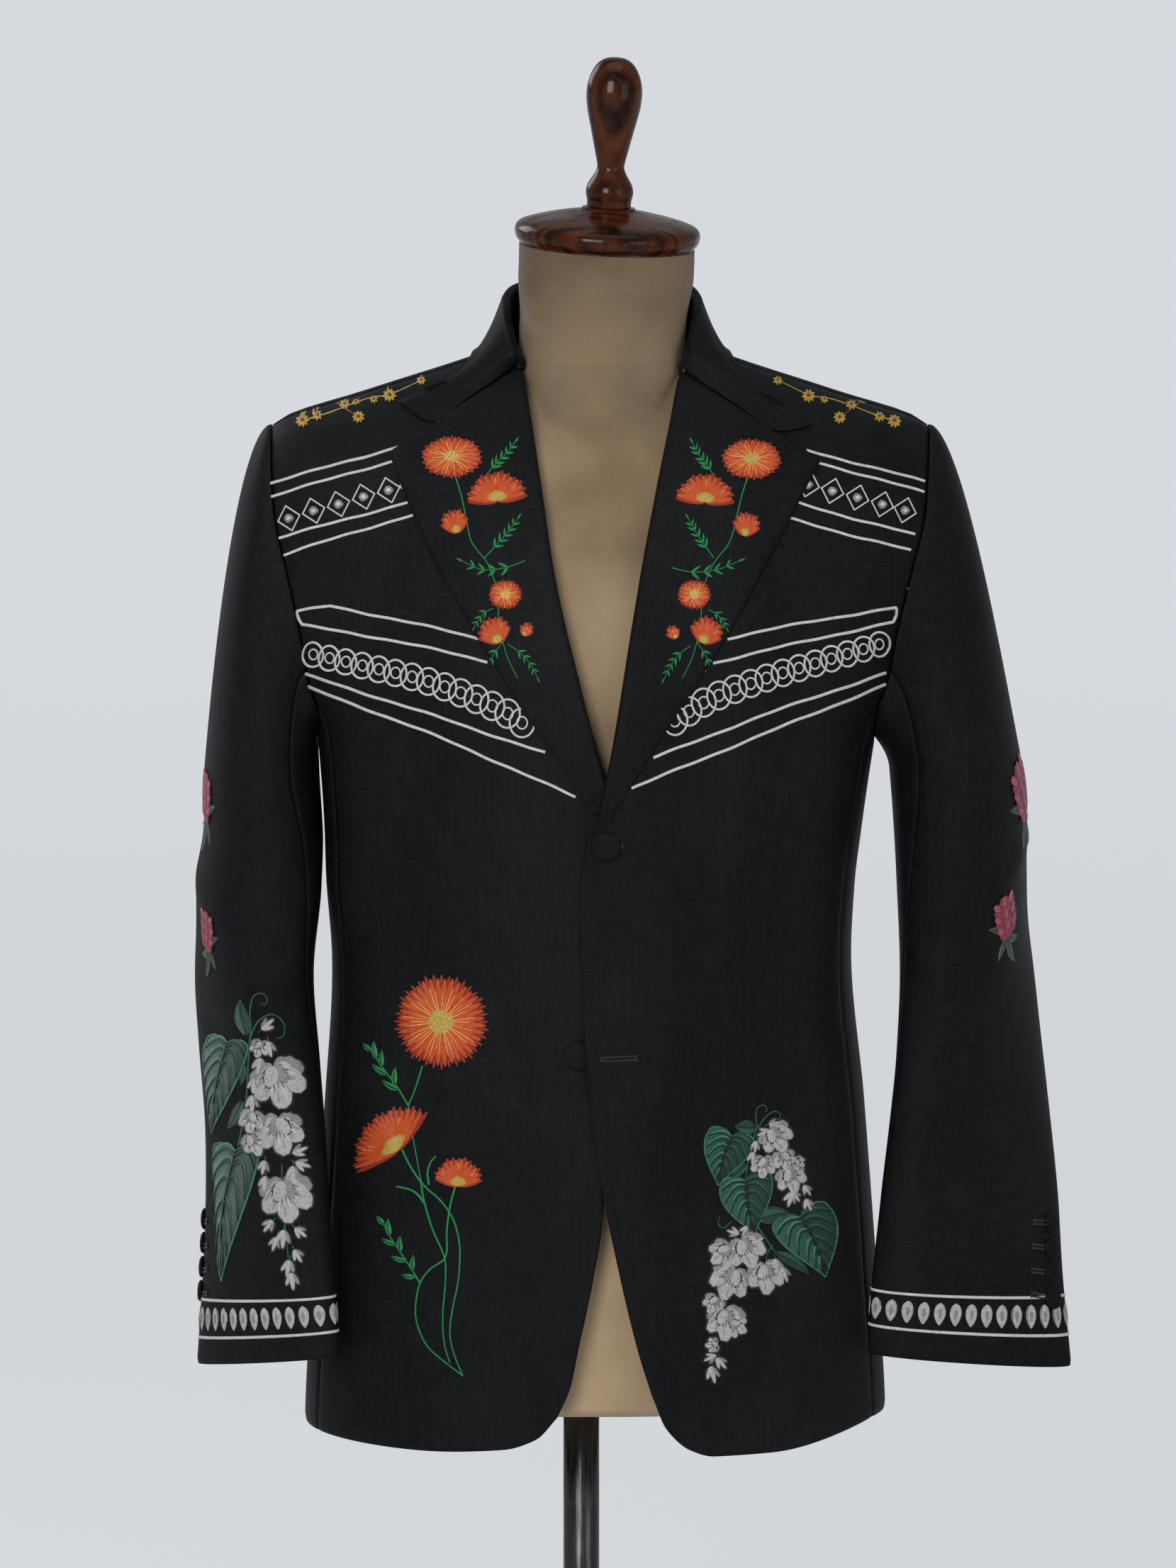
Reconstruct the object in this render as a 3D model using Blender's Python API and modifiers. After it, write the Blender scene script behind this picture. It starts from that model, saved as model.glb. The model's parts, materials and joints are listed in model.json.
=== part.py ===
"""An embroidered two-button suit jacket on a limbless dress form.

Units are metres and +Z is up. The origin is the centre of the base's underside. The
jacket faces -Y, so the wearer's left is at +X. Cloth pieces are walls between an outer
and an inner grid of points. Torso pieces take their points from one skin, whose level
sections are rounded ovals, and lapels and collar from the same skin moved out.
"""
import math
from collections import namedtuple

import bmesh
import bpy
import numpy as np
from mathutils import Matrix, Vector

Finish = namedtuple("Finish", "colour roughness metallic")
WOOL = Finish((0.012, 0.014, 0.018), 0.80, 0.0)
COVER = Finish((0.220, 0.170, 0.110), 0.85, 0.0)
WOOD = Finish((0.120, 0.025, 0.010), 0.20, 0.0)
METAL = Finish((0.012, 0.012, 0.013), 0.35, 0.6)

SHARP_ANGLE = math.radians(50)

# Cloth and seams
WALL = 0.002
SLEEVE_WALL = 0.0016
FOLD_WALL = 0.0018
GAP = 0.0003
LAP = 0.0029
ROUNDNESS = 2.3

# Levels on the jacket, measured up from the floor
BREAK_HEIGHT = 1.139
ARMHOLE_LOW = 1.178
ARMHOLE_HIGH = 1.393
NECK_POINT = 1.4400
BACK_HEM = 0.709
HEM_BLEND = 0.150
SIDE_SEAM = 0.9515
BACK_SEAM = 0.900
SHOULDER_ROWS = [1.4010, 1.4100, 1.4190, 1.4280, 1.4350, NECK_POINT]

# The jacket's level sections: centre, half width, and depth to the front and to the back
Section = namedtuple("Section", "height centre half front back")
JACKET = [
    Section(0.690, 0.0096, 0.1990, 0.127, 0.122),
    Section(0.732, 0.0095, 0.1975, 0.126, 0.120),
    Section(0.820, 0.0094, 0.1915, 0.124, 0.113),
    Section(0.930, 0.0090, 0.1835, 0.121, 0.101),
    Section(1.030, 0.0070, 0.1762, 0.119, 0.093),
    Section(1.080, 0.0063, 0.1790, 0.121, 0.098),
    Section(1.120, 0.0080, 0.1820, 0.123, 0.105),
    Section(1.160, 0.0095, 0.1860, 0.123, 0.112),
    Section(1.192, 0.0105, 0.1905, 0.122, 0.116),
    Section(1.222, 0.0110, 0.2060, 0.119, 0.117),
    Section(1.260, 0.0115, 0.2210, 0.113, 0.117),
    Section(1.300, 0.0120, 0.2330, 0.104, 0.114),
    Section(1.340, 0.0124, 0.2380, 0.092, 0.109),
    Section(1.370, 0.0125, 0.2330, 0.079, 0.103),
    Section(1.393, 0.0128, 0.2210, 0.063, 0.095),
    Section(1.4138, 0.0130, 0.1620, 0.047, 0.087),
    Section(1.4333, 0.0135, 0.1010, 0.028, 0.076),
    Section(1.4425, 0.0138, 0.0750, 0.014, 0.068),
]

# The form's own sections, inside the jacket and touching nothing but its shoulders
FORM = [
    Section(0.7305, 0.0080, 0.172, 0.106, 0.104),
    Section(0.820, 0.0080, 0.170, 0.105, 0.100),
    Section(0.930, 0.0075, 0.158, 0.102, 0.086),
    Section(1.030, 0.0070, 0.149, 0.100, 0.079),
    Section(1.120, 0.0080, 0.158, 0.105, 0.092),
    Section(1.190, 0.0100, 0.171, 0.107, 0.102),
    Section(1.260, 0.0113, 0.187, 0.100, 0.104),
    Section(1.300, 0.0118, 0.195, 0.092, 0.101),
    Section(1.340, 0.0122, 0.201, 0.080, 0.096),
    Section(1.370, 0.0125, 0.204, 0.067, 0.090),
    Section(1.386, 0.0127, 0.203, 0.056, 0.084),
    Section(1.3955, 0.0128, 0.197, 0.046, 0.079),
    Section(1.4025, 0.0129, 0.185, 0.041, 0.075),
    Section(1.4105, 0.0130, 0.160, 0.036, 0.071),
    Section(1.4300, 0.0135, 0.100, 0.018, 0.060),
    Section(1.4400, 0.0140, 0.055, 0.008, 0.045),
]

# Front edges below the break, outward from the centre line, and hems out to the side seam
EdgePoint = namedtuple("EdgePoint", "height out")
LEFT_EDGE = [
    EdgePoint(0.7517, 0.0380), EdgePoint(0.7824, 0.0285), EdgePoint(0.840, 0.0150),
    EdgePoint(0.899, 0.0038), EdgePoint(0.977, -0.0047), EdgePoint(1.028, -0.0060),
    EdgePoint(1.090, -0.0070), EdgePoint(1.115, -0.0070), EdgePoint(1.139, 0.0030),
]
RIGHT_EDGE = [
    EdgePoint(0.736, 0.0258), EdgePoint(0.757, 0.0167), EdgePoint(0.782, 0.0115),
    EdgePoint(0.830, 0.0014), EdgePoint(0.877, -0.0057), EdgePoint(0.930, -0.0070),
    EdgePoint(0.980, -0.0075), EdgePoint(1.060, -0.0165), EdgePoint(1.139, -0.0200),
]
HemPoint = namedtuple("HemPoint", "out height")
LEFT_HEM = [
    HemPoint(0.0380, 0.7517), HemPoint(0.0480, 0.7280), HemPoint(0.0645, 0.7130),
    HemPoint(0.0805, 0.7083), HemPoint(0.1195, 0.7085), HemPoint(0.1880, 0.7200),
]
RIGHT_HEM = [
    HemPoint(0.0258, 0.7360), HemPoint(0.0400, 0.7210), HemPoint(0.0623, 0.7135),
    HemPoint(0.1205, 0.7100), HemPoint(0.1880, 0.7110),
]

# Roll lines and lapel edges from the break up to the gorge
LEFT_ROLL = [
    EdgePoint(1.139, 0.0030), EdgePoint(1.172, 0.0094), EdgePoint(1.283, 0.0265),
    EdgePoint(1.317, 0.0320), EdgePoint(1.3705, 0.0423), EdgePoint(1.405, 0.0497),
    EdgePoint(1.430, 0.0548), EdgePoint(1.4425, 0.0605),
]
RIGHT_ROLL = [
    EdgePoint(1.139, -0.0200), EdgePoint(1.172, -0.0040), EdgePoint(1.240, 0.0160),
    EdgePoint(1.3077, 0.0327), EdgePoint(1.3705, 0.0430), EdgePoint(1.4102, 0.0502),
    EdgePoint(1.433, 0.0555), EdgePoint(1.4425, 0.0605),
]
LapelRow = namedtuple("LapelRow", "roll_height edge_out edge_height")
LapelPlace = namedtuple("LapelPlace", ("place",) + LapelRow._fields)
LEFT_LAPEL = [
    LapelRow(1.145, 0.0085, 1.1410), LapelRow(1.164, 0.0180, 1.1600),
    LapelRow(1.184, 0.0290, 1.1780), LapelRow(1.230, 0.0520, 1.2134),
    LapelRow(1.290, 0.0850, 1.2640), LapelRow(1.355, 0.1170, 1.3220),
    LapelRow(1.400, 0.1380, 1.3610), LapelRow(1.430, 0.1475, 1.3773),
]
RIGHT_LAPEL = [
    LapelRow(1.151, 0.0000, 1.1470), LapelRow(1.170, 0.0120, 1.1640),
    LapelRow(1.192, 0.0250, 1.1830), LapelRow(1.238, 0.0540, 1.2230),
    LapelRow(1.298, 0.0890, 1.2780), LapelRow(1.358, 0.1160, 1.3250),
    LapelRow(1.405, 0.1340, 1.3650), LapelRow(1.433, 0.1410, 1.3822),
]
LAPEL_FOLD = 0.0043
LAPEL_EDGE = WALL + GAP
# The lapel's face where it rounds the roll line: past the front's edge, and above the skin
ROLL_TURN = [
    (0.0026, -WALL), (0.0028, -0.0004), (0.0025, 0.0015), (0.0014, 0.0034), (-0.0008, LAPEL_FOLD),
]

# Collar stations from the gorge round to the centre back: the fold's top, then the fall's edge
CollarRow = namedtuple("CollarRow", "fold_out fold_y fold_height edge_out edge_height back")
COLLAR_LEFT = [
    CollarRow(0.0600, -0.0310, 1.4480, 0.1250, 1.4080, False),
    CollarRow(0.0645, -0.0180, 1.4620, 0.1060, 1.4180, False),
    CollarRow(0.0665, -0.0060, 1.4700, 0.0950, 1.4280, False),
    CollarRow(0.0670, 0.0070, 1.4745, 0.0875, 1.4378, False),
]
COLLAR_RIGHT = [
    CollarRow(0.0600, -0.0310, 1.4480, 0.1200, 1.4170, False),
    CollarRow(0.0645, -0.0180, 1.4620, 0.1040, 1.4240, False),
    CollarRow(0.0665, -0.0060, 1.4700, 0.0940, 1.4300, False),
    CollarRow(0.0670, 0.0070, 1.4745, 0.0875, 1.4378, False),
]
COLLAR_BACK = [
    CollarRow(0.0665, 0.0240, 1.4780, 0.0830, 1.4350, True),
    CollarRow(0.0580, 0.0470, 1.4830, 0.0620, 1.4320, True),
    CollarRow(0.0310, 0.0650, 1.4860, 0.0320, 1.4310, True),
    CollarRow(0.0000, 0.0705, 1.4870, 0.0000, 1.4305, True),
]
Corner = namedtuple("Corner", "gorge_out gorge_height notch_out notch_height tip_out tip_height")
LEAF_LEFT = Corner(0.0545, 1.4316, 0.1184, 1.3952, 0.1430, 1.3985)
LEAF_RIGHT = Corner(0.0550, 1.4350, 0.1124, 1.4006, 0.1360, 1.4120)
STAND_FOOT = 1.4465
FOLD_WIDTH = 0.0062
STAND_COLUMNS = 6
COLLAR_CLEAR = 0.0016

# Sleeve rings: centre, half sizes of the oval, and the turn of its long axis from +X
Ring = namedtuple("Ring", "height out y long short turn")
RIGHT_SLEEVE = [
    Ring(0.754, 0.2110, -0.062, 0.0710, 0.0200, 47), Ring(0.840, 0.2120, -0.044, 0.0690, 0.0250, 55),
    Ring(0.907, 0.2140, -0.028, 0.0680, 0.0290, 60), Ring(0.966, 0.2186, -0.014, 0.0680, 0.0330, 64),
    Ring(1.024, 0.2225, -0.004, 0.0690, 0.0365, 70), Ring(1.080, 0.2188, 0.002, 0.0700, 0.0408, 76),
    Ring(1.120, 0.2153, 0.004, 0.0705, 0.0395, 82), Ring(1.160, 0.2162, 0.006, 0.0710, 0.0387, 88),
    Ring(1.200, 0.2135, 0.008, 0.0690, 0.0360, 90),
]
LEFT_SLEEVE = [
    Ring(0.754, 0.2630, -0.052, 0.0715, 0.0200, 12), Ring(0.810, 0.2620, -0.037, 0.0700, 0.0230, 21),
    Ring(0.868, 0.2635, -0.018, 0.0690, 0.0260, 30), Ring(0.930, 0.2638, -0.008, 0.0680, 0.0300, 42),
    Ring(1.005, 0.2625, 0.000, 0.0670, 0.0360, 57), Ring(1.080, 0.2585, 0.004, 0.0670, 0.0420, 72),
    Ring(1.160, 0.2535, 0.006, 0.0680, 0.0450, 86), Ring(1.200, 0.2440, 0.008, 0.0670, 0.0430, 90),
]
CAP_FOOT = 1.160
CUFF = 0.754
ARMHOLE_STEP = 15
FRONT_SEAM_TURN = 120
HIND_SEAM_TURN = 270
SIDE_SEAM_TURN = 135
BACK_SEAM_TURN = 225

# Seam of the armhole on the front and on the back, as half widths from the centre line
FRONT_ARMHOLE = [
    EdgePoint(1.225, 0.1945), EdgePoint(1.260, 0.2005), EdgePoint(1.300, 0.2095),
    EdgePoint(1.340, 0.2185), EdgePoint(1.370, 0.2205), EdgePoint(1.393, 0.2210),
]
BACK_ARMHOLE = [
    EdgePoint(1.225, 0.1855), EdgePoint(1.250, 0.1915), EdgePoint(1.280, 0.1985),
    EdgePoint(1.320, 0.2070), EdgePoint(1.360, 0.2150), EdgePoint(1.393, 0.2210),
]

# Soft folds of the sleeves: where along the arm and round it, how long, wide and deep
Fold = namedtuple("Fold", "height turn length width depth")
SLEEVE_FOLDS = [
    Fold(1.100, 20, 0.050, 26, 0.0022), Fold(1.045, -25, 0.035, 30, -0.0020),
    Fold(1.010, 60, 0.040, 24, 0.0020), Fold(0.930, 5, 0.070, 22, -0.0018),
    Fold(1.230, -35, 0.050, 24, 0.0018), Fold(1.240, 55, 0.045, 22, -0.0018),
]

# Buttons: where each sits, outward and up
BUTTON_RADIUS = 0.0100
BUTTON_HEIGHT = 0.0036
CUFF_BUTTON_RADIUS = 0.0074
CUFF_BUTTON_HEIGHT = 0.0030
BUTTON_STEPS = 14
CUFF_BUTTON_SINK = 0.0003
UPPER_BUTTON = (0.0083, 1.1270)
LOWER_BUTTON = (0.0095, 0.9830)
CUFF_BUTTON_HEIGHTS = (0.7990, 0.8148, 0.8306, 0.8464)
CUFF_BUTTON_TURNS = {"left": -54, "right": -68}

# Stand, neck and cap
BASE_RADIUS = 0.185
BASE_THICKNESS = 0.014
HUB_RADIUS = 0.030
HUB_HEIGHT = 0.060
POLE_RADIUS = 0.0123
NECK_RADIUS = 0.0590
NECK_BASE_RADIUS = 0.0562
NECK_SHIFT = 0.002
NECK_TOP = 1.5137
NECK_BLEND = 24
FORM_BOTTOM = FORM[0].height
CAP_RADIUS = 0.0625
CAP_CENTRE = 0.0172
CAP_TILT = math.radians(2.8)
CAP_HEIGHT = 0.0262
CAP_STEPS, FINIAL_STEPS, BASE_STEPS, POLE_STEPS = 30, 18, 32, 24


def column(rows, key, name, at):
    """Smooth values of a table's column, with no overshoot between its rows."""
    x = np.array([getattr(row, key) for row in rows])
    y = np.array([getattr(row, name) for row in rows])
    step = np.diff(x)
    slope = np.diff(y) / step
    inner = np.where(slope[1:] * slope[:-1] > 0, 2 * slope[1:] * slope[:-1], 0.0)
    total = slope[1:] + slope[:-1]
    inner = inner / np.where(total == 0, 1.0, total)
    tangent = np.concatenate([slope[:1], inner, slope[-1:]])
    at = np.clip(np.asarray(at, float), x[0], x[-1])
    k = np.clip(np.searchsorted(x, at, side="right") - 1, 0, len(x) - 2)
    t = (at - x[k]) / step[k]
    rise = y[k] * (1 + 2 * t) * (1 - t) ** 2 + y[k + 1] * t * t * (3 - 2 * t)
    return rise + step[k] * (tangent[k] * t * (1 - t) ** 2 + tangent[k + 1] * t * t * (t - 1))


def smoothstep(low, high, value):
    """0 below low, 1 above high, eased between."""
    t = np.clip((value - low) / (high - low), 0.0, 1.0)
    return t * t * (3 - 2 * t)


def skin(out, height, side, back=False):
    """Points of the jacket's outer skin, from the distance out from its centre line."""
    out, height = np.broadcast_arrays(np.asarray(out, float), np.asarray(height, float))
    half = column(JACKET, "height", "half", height)
    depth = column(JACKET, "height", "back" if back else "front", height)
    left = np.clip(1 - np.abs(out / half) ** ROUNDNESS, 0, 1) ** (1 / ROUNDNESS)
    x = column(JACKET, "height", "centre", height) + side * out
    return np.stack([x, (depth if back else -depth) * left, height], axis=-1)


def level(points):
    """1 on the jacket's skin and more outside it."""
    x, y, height = np.moveaxis(points, -1, 0)
    half = column(JACKET, "height", "half", height)
    front = column(JACKET, "height", "front", height)
    back = column(JACKET, "height", "back", height)
    depth = np.where(y > 0, back, front)
    x = x - column(JACKET, "height", "centre", height)
    return (np.abs(x / half) ** ROUNDNESS + np.abs(y / depth) ** ROUNDNESS) ** (1 / ROUNDNESS)


def outward(points):
    """Unit directions straight out of the skin."""
    step = 0.0005
    slopes = []
    for axis in np.eye(3):
        slopes.append(level(points + step * axis) - level(points - step * axis))
    slope = np.stack(slopes, axis=-1)
    return slope / np.linalg.norm(slope, axis=-1, keepdims=True)


def moved_out(points, distance):
    """The points moved out of the skin by a distance."""
    return points + outward(points) * np.asarray(distance)[..., None]


def left_lift(out, height):
    """How far the left forepart lies above the skin where it laps over the right one."""
    above = 1 - smoothstep(1.20, 1.26, height)
    lap = LAP * (1 - smoothstep(0.030, 0.080, out)) * above
    layers = smoothstep(1.105, 1.135, height) * above
    over_lapel = 0.0044 * layers * (1 - smoothstep(0.022, 0.070, out))
    reach = ((out + LOWER_BUTTON[0]) ** 2 + (height - LOWER_BUTTON[1]) ** 2) / 0.022**2
    over_button = 0.0048 * np.exp(-(reach**1.5))
    return lap * (0.6 + 0.4 * smoothstep(0.80, 0.86, height)) + over_lapel + over_button


def normals_of(grid):
    """Unit normals of a grid of points, from its rows and columns."""
    along = np.gradient(grid, axis=0)
    across = np.gradient(grid, axis=1)
    normal = np.cross(across, along)
    return normal / np.linalg.norm(normal, axis=-1, keepdims=True)


def new_object(name, points, faces, finish):
    """An object with these points and faces, turned so that its faces point out."""
    mesh = bpy.data.meshes.new(name)
    mesh.from_pydata([tuple(p) for p in points], [], [tuple(f) for f in faces])
    work = bmesh.new()
    work.from_mesh(mesh)
    bmesh.ops.recalc_face_normals(work, faces=work.faces[:])
    if work.calc_volume(signed=True) < 0:
        bmesh.ops.reverse_faces(work, faces=work.faces[:])
    work.to_mesh(mesh)
    work.free()
    mesh.shade_smooth()
    mesh.set_sharp_from_angle(angle=SHARP_ANGLE)
    mesh.materials.append(material(name, finish))
    made = bpy.data.objects.new(name, mesh)
    PARTS.objects.link(made)
    return made


def wall(name, outer, inner, finish):
    """A closed wall between two grids of points of the same size."""
    rows, columns = outer.shape[:2]
    index = np.arange(rows * columns).reshape(rows, columns)
    under = index + rows * columns
    quads = []
    for sheet in (index, under):
        quads.append(np.stack([sheet[:-1, :-1], sheet[:-1, 1:], sheet[1:, 1:], sheet[1:, :-1]], -1))
    faces = [quad for sheet in quads for quad in sheet.reshape(-1, 4).tolist()]
    border = [*index[0, :-1], *index[:-1, -1], *index[-1, :0:-1], *index[:0:-1, 0]]
    ring = [int(i) for i in border]
    for here, after in zip(ring, ring[1:] + ring[:1]):
        faces.append([here, after, after + rows * columns, here + rows * columns])
    return new_object(name, np.concatenate([outer.reshape(-1, 3), inner.reshape(-1, 3)]), faces, finish)


def skin_wall(name, points, lift):
    """A wall of cloth whose outer face lies this far above the skin."""
    outer = moved_out(points, lift)
    return wall(name, outer, moved_out(points, lift - WALL), WOOL)


def armhole_height(turn):
    """Height on the armhole at a turn round the arm, where 0 is the shoulder and 90 the front."""
    return ARMHOLE_LOW + (ARMHOLE_HIGH - ARMHOLE_LOW) * (1 + np.cos(np.radians(turn))) / 2


def armhole_point(turn, side):
    """The armhole's seam at a turn round the arm."""
    height = float(armhole_height(turn))
    if turn <= SIDE_SEAM_TURN:
        return skin(armhole_out(height), height, side)
    if turn >= BACK_SEAM_TURN:
        return skin(armhole_out(height, True), height, side, True)
    share = (turn - SIDE_SEAM_TURN) / (BACK_SEAM_TURN - SIDE_SEAM_TURN)
    return side_body_points(np.array([share]), np.array([height]), side)[0]


def armhole_out(height, back=False):
    """Distance out to the armhole's seam, which meets the side seams where they end."""
    seam, rows = (BACK_SEAM, BACK_ARMHOLE) if back else (SIDE_SEAM, FRONT_ARMHOLE)
    start = float(armhole_height(SIDE_SEAM_TURN))
    first = EdgePoint(start, seam * float(column(JACKET, "height", "half", start)))
    return column([first] + rows, "height", "out", height)


def side_body_points(share, height, side):
    """Skin points under the arm, from the front seam at share 0 to the back seam at 1."""
    start = -math.acos(SIDE_SEAM ** (ROUNDNESS / 2))
    end = math.acos(BACK_SEAM ** (ROUNDNESS / 2))
    angle = start + (end - start) * share
    half = column(JACKET, "height", "half", height)
    out = half * np.cos(angle) ** (2 / ROUNDNESS)
    front = skin(out, height, side)
    back = skin(out, height, side, True)
    return np.where((angle > 0)[..., None], back, front)


def front_rows():
    """Heights of the forepart's rows: skirt, armhole, then shoulder."""
    skirt = [BACK_HEM + step for step in (0.0, 0.018, 0.040, 0.068, 0.104, 0.150, 0.205)]
    waist = list(np.linspace(0.960, BREAK_HEIGHT, 6))
    chest = [1.160, 1.185]
    arm = [float(armhole_height(turn)) for turn in range(SIDE_SEAM_TURN, -1, -ARMHOLE_STEP)]
    return np.array(skirt + waist + chest + arm + SHOULDER_ROWS)


def front_grid(side, edge, hem, roll):
    """The forepart's points as distances out and heights, row by row from the hem up."""
    heights = front_rows()
    share = np.array([0, 0.03, 0.075, 0.14, 0.22, 0.32, 0.43, 0.55, 0.67, 0.79, 0.89, 0.96, 1.0])
    fade = np.clip(1 - (heights - BACK_HEM) / HEM_BLEND, 0, 1) ** 2
    inner_height = heights + (edge[0].height - BACK_HEM) * fade
    outer_height = heights + (hem[-1].height - BACK_HEM) * fade
    half = column(JACKET, "height", "half", outer_height)
    outer = np.where(heights < armhole_height(SIDE_SEAM_TURN), SIDE_SEAM * half, armhole_out(heights))
    outer = np.where(heights > ARMHOLE_HIGH - 1e-6, half, outer - GAP / 2)
    below = column(edge, "height", "out", inner_height)
    inner = np.where(heights <= BREAK_HEIGHT, below, column(roll, "height", "out", heights))
    out = inner[:, None] + (outer - inner)[:, None] * share
    height = inner_height[:, None] + (outer_height - inner_height)[:, None] * share
    sag = column(hem, "out", "height", out[0]) - height[0]
    return out, height + fade[:, None] * sag


def forepart(name, side, edge, hem, roll):
    """One front of the jacket."""
    out, height = front_grid(side, edge, hem, roll)
    lift = left_lift(out, height) if side > 0 else np.zeros_like(out)
    points = skin(out, height, side)
    points[..., 1] -= GAP / 2 * smoothstep(1.38, 1.393, height)
    return skin_wall(name, points, lift)


def side_body(name, side):
    """The underarm panel."""
    turns = np.arange(SIDE_SEAM_TURN, BACK_SEAM_TURN + 1, ARMHOLE_STEP)
    share = (turns - SIDE_SEAM_TURN) / (BACK_SEAM_TURN - SIDE_SEAM_TURN)
    top = armhole_height(turns)
    seam_hem = LEFT_HEM[-1].height if side > 0 else RIGHT_HEM[-1].height
    low = seam_hem + (BACK_HEM - seam_hem) * share**2
    rise = np.array([0, 0.05, 0.12, 0.2, 0.28, 0.37, 0.46, 0.55, 0.64, 0.73, 0.82, 0.91, 1.0])
    height = low + (top - low) * rise[:, None]
    inset = 0.0055 * (1 - 2 * share)
    points = side_body_points(np.broadcast_to(share + inset, height.shape), height, side)
    return skin_wall(name, points, np.zeros(height.shape))


def back_panel(name, side):
    """One half of the back, from the centre seam to the side seam, armhole and shoulder."""
    skirt = list(np.linspace(BACK_HEM, 1.185, 11))
    arm = [float(armhole_height(turn)) for turn in range(BACK_SEAM_TURN, 361, ARMHOLE_STEP)]
    heights = np.array(skirt + arm + SHOULDER_ROWS)
    half = column(JACKET, "height", "half", heights)
    below = heights < armhole_height(BACK_SEAM_TURN)
    outer = np.where(below, BACK_SEAM * half, armhole_out(heights, True))
    outer = np.where(heights > ARMHOLE_HIGH - 1e-6, half, outer - GAP / 2)
    share = np.array([0, 0.16, 0.32, 0.48, 0.62, 0.75, 0.86, 0.94, 0.98, 1.0])
    out = GAP / 2 + (outer - GAP / 2)[:, None] * share
    height = np.broadcast_to(heights[:, None], out.shape)
    points = skin(out, height, side, True)
    points[..., 1] += GAP / 2 * smoothstep(1.38, 1.393, height)
    return skin_wall(name, points, np.zeros(out.shape))


def lapel(name, side, rows, roll):
    """The turned-back front: it rounds the roll line and lies on the forepart."""
    count = 15
    at = np.linspace(0, 1, count)
    place = [LapelPlace(i / (len(rows) - 1), *row) for i, row in enumerate(rows)]
    roll_height = column(place, "place", "roll_height", at)
    edge_out = column(place, "place", "edge_out", at)
    edge_height = column(place, "place", "edge_height", at)
    roll_out = column(roll, "height", "out", roll_height)
    width = np.hypot(edge_out - roll_out, edge_height - roll_height)
    share = np.array([0.10, 0.25, 0.42, 0.60, 0.80, 1.0])
    turn_out = -np.array([row[0] for row in ROLL_TURN])
    turn_lift = np.array([row[1] for row in ROLL_TURN])
    flat_out = roll_out[:, None] + (edge_out - roll_out)[:, None] * share
    out = np.concatenate([roll_out[:, None] + turn_out, flat_out], axis=1)
    flat_height = roll_height[:, None] + (edge_height - roll_height)[:, None] * share
    height = np.concatenate([np.repeat(roll_height[:, None], len(turn_out), 1), flat_height], axis=1)
    fall = LAPEL_EDGE + (LAPEL_FOLD - LAPEL_EDGE) * (1 - share) ** 1.5
    belly = 0.0012 * np.sin(math.pi * share) * np.clip(width / 0.1, 0, 1)[:, None]
    lift = np.concatenate([np.tile(turn_lift, (count, 1)), fall + belly], axis=1)
    if side > 0:
        lift = lift + left_lift(out, height)
    outer = moved_out(skin(out, height, side), lift)
    inner = outer - normals_of(outer) * FOLD_WALL * side
    return wall(name, outer, inner, WOOL)


def collar_station(row, side):
    """Points across the collar at one station: stand, fold, fall, edge."""
    edge = moved_out(skin(row.edge_out, row.edge_height, side, row.back), LAPEL_EDGE)
    centre = float(column(JACKET, "height", "centre", row.fold_height))
    fold = np.array([centre + side * row.fold_out, row.fold_y, row.fold_height])
    return across_collar(fold, edge, centre, row.back or row.fold_y > -0.01, row.fold_y)


def across_collar(fold, edge, centre, at_neck, fold_y):
    """The collar's visible line from the stand's foot over the fold to the fall's edge."""
    inward = np.array([centre - fold[0], -fold[1], 0.0])
    inward = inward / np.linalg.norm(inward)
    drop = 0.003 + (fold[2] - STAND_FOOT) * float(smoothstep(-0.045, 0.010, np.array(fold_y)))
    up = np.array([0.0, 0.0, 1.0])
    foot = fold + inward * (FOLD_WIDTH - 0.002) - up * drop
    turn = [
        foot, foot * 0.5 + (fold + inward * FOLD_WIDTH - up * 0.004) * 0.5,
        fold + inward * FOLD_WIDTH - up * 0.0030, fold + inward * FOLD_WIDTH * 0.55,
        fold, fold - up * 0.0030 - inward * 0.0012,
    ]
    start = turn[-1]
    hug = -0.004 * up if at_neck else -0.002 * up
    fall = []
    for share in (0.3, 0.6, 0.82, 1.0):
        fall.append(start + (edge - start) * share + hug * math.sin(math.pi * share))
    return np.array(turn + fall)


def collar():
    """Stand and fall in one wall, from one gorge round the neck to the other."""
    stations = []
    for side, leaf, rows in ((1, LEAF_LEFT, COLLAR_LEFT), (-1, LEAF_RIGHT, COLLAR_RIGHT)):
        points = [leaf_end(leaf, side)]
        points += [collar_station(row, side) for row in rows + COLLAR_BACK]
        stations.append(np.array(points))
    left, right = stations
    control = np.concatenate([left, right[-2::-1]])
    outer = smooth_rows(control, 2)
    outer[:, STAND_COLUMNS:] = clear_of_skin(outer[:, STAND_COLUMNS:], FOLD_WALL + COLLAR_CLEAR)
    inner = outer - normals_of(outer) * FOLD_WALL
    return wall("collar", outer, inner, WOOL)


def clear_of_skin(points, least):
    """The points, moved out where they lie less than this far above the skin."""
    high = points[..., 2] > JACKET[-1].height
    step = 0.0005
    way = outward(points)
    rise = (level(points + way * step) - level(points - way * step)) / (2 * step)
    above = (level(points) - 1) / rise
    lack = np.where(high, 0, np.maximum(least - above, 0))
    return points + way * lack[..., None]


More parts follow.
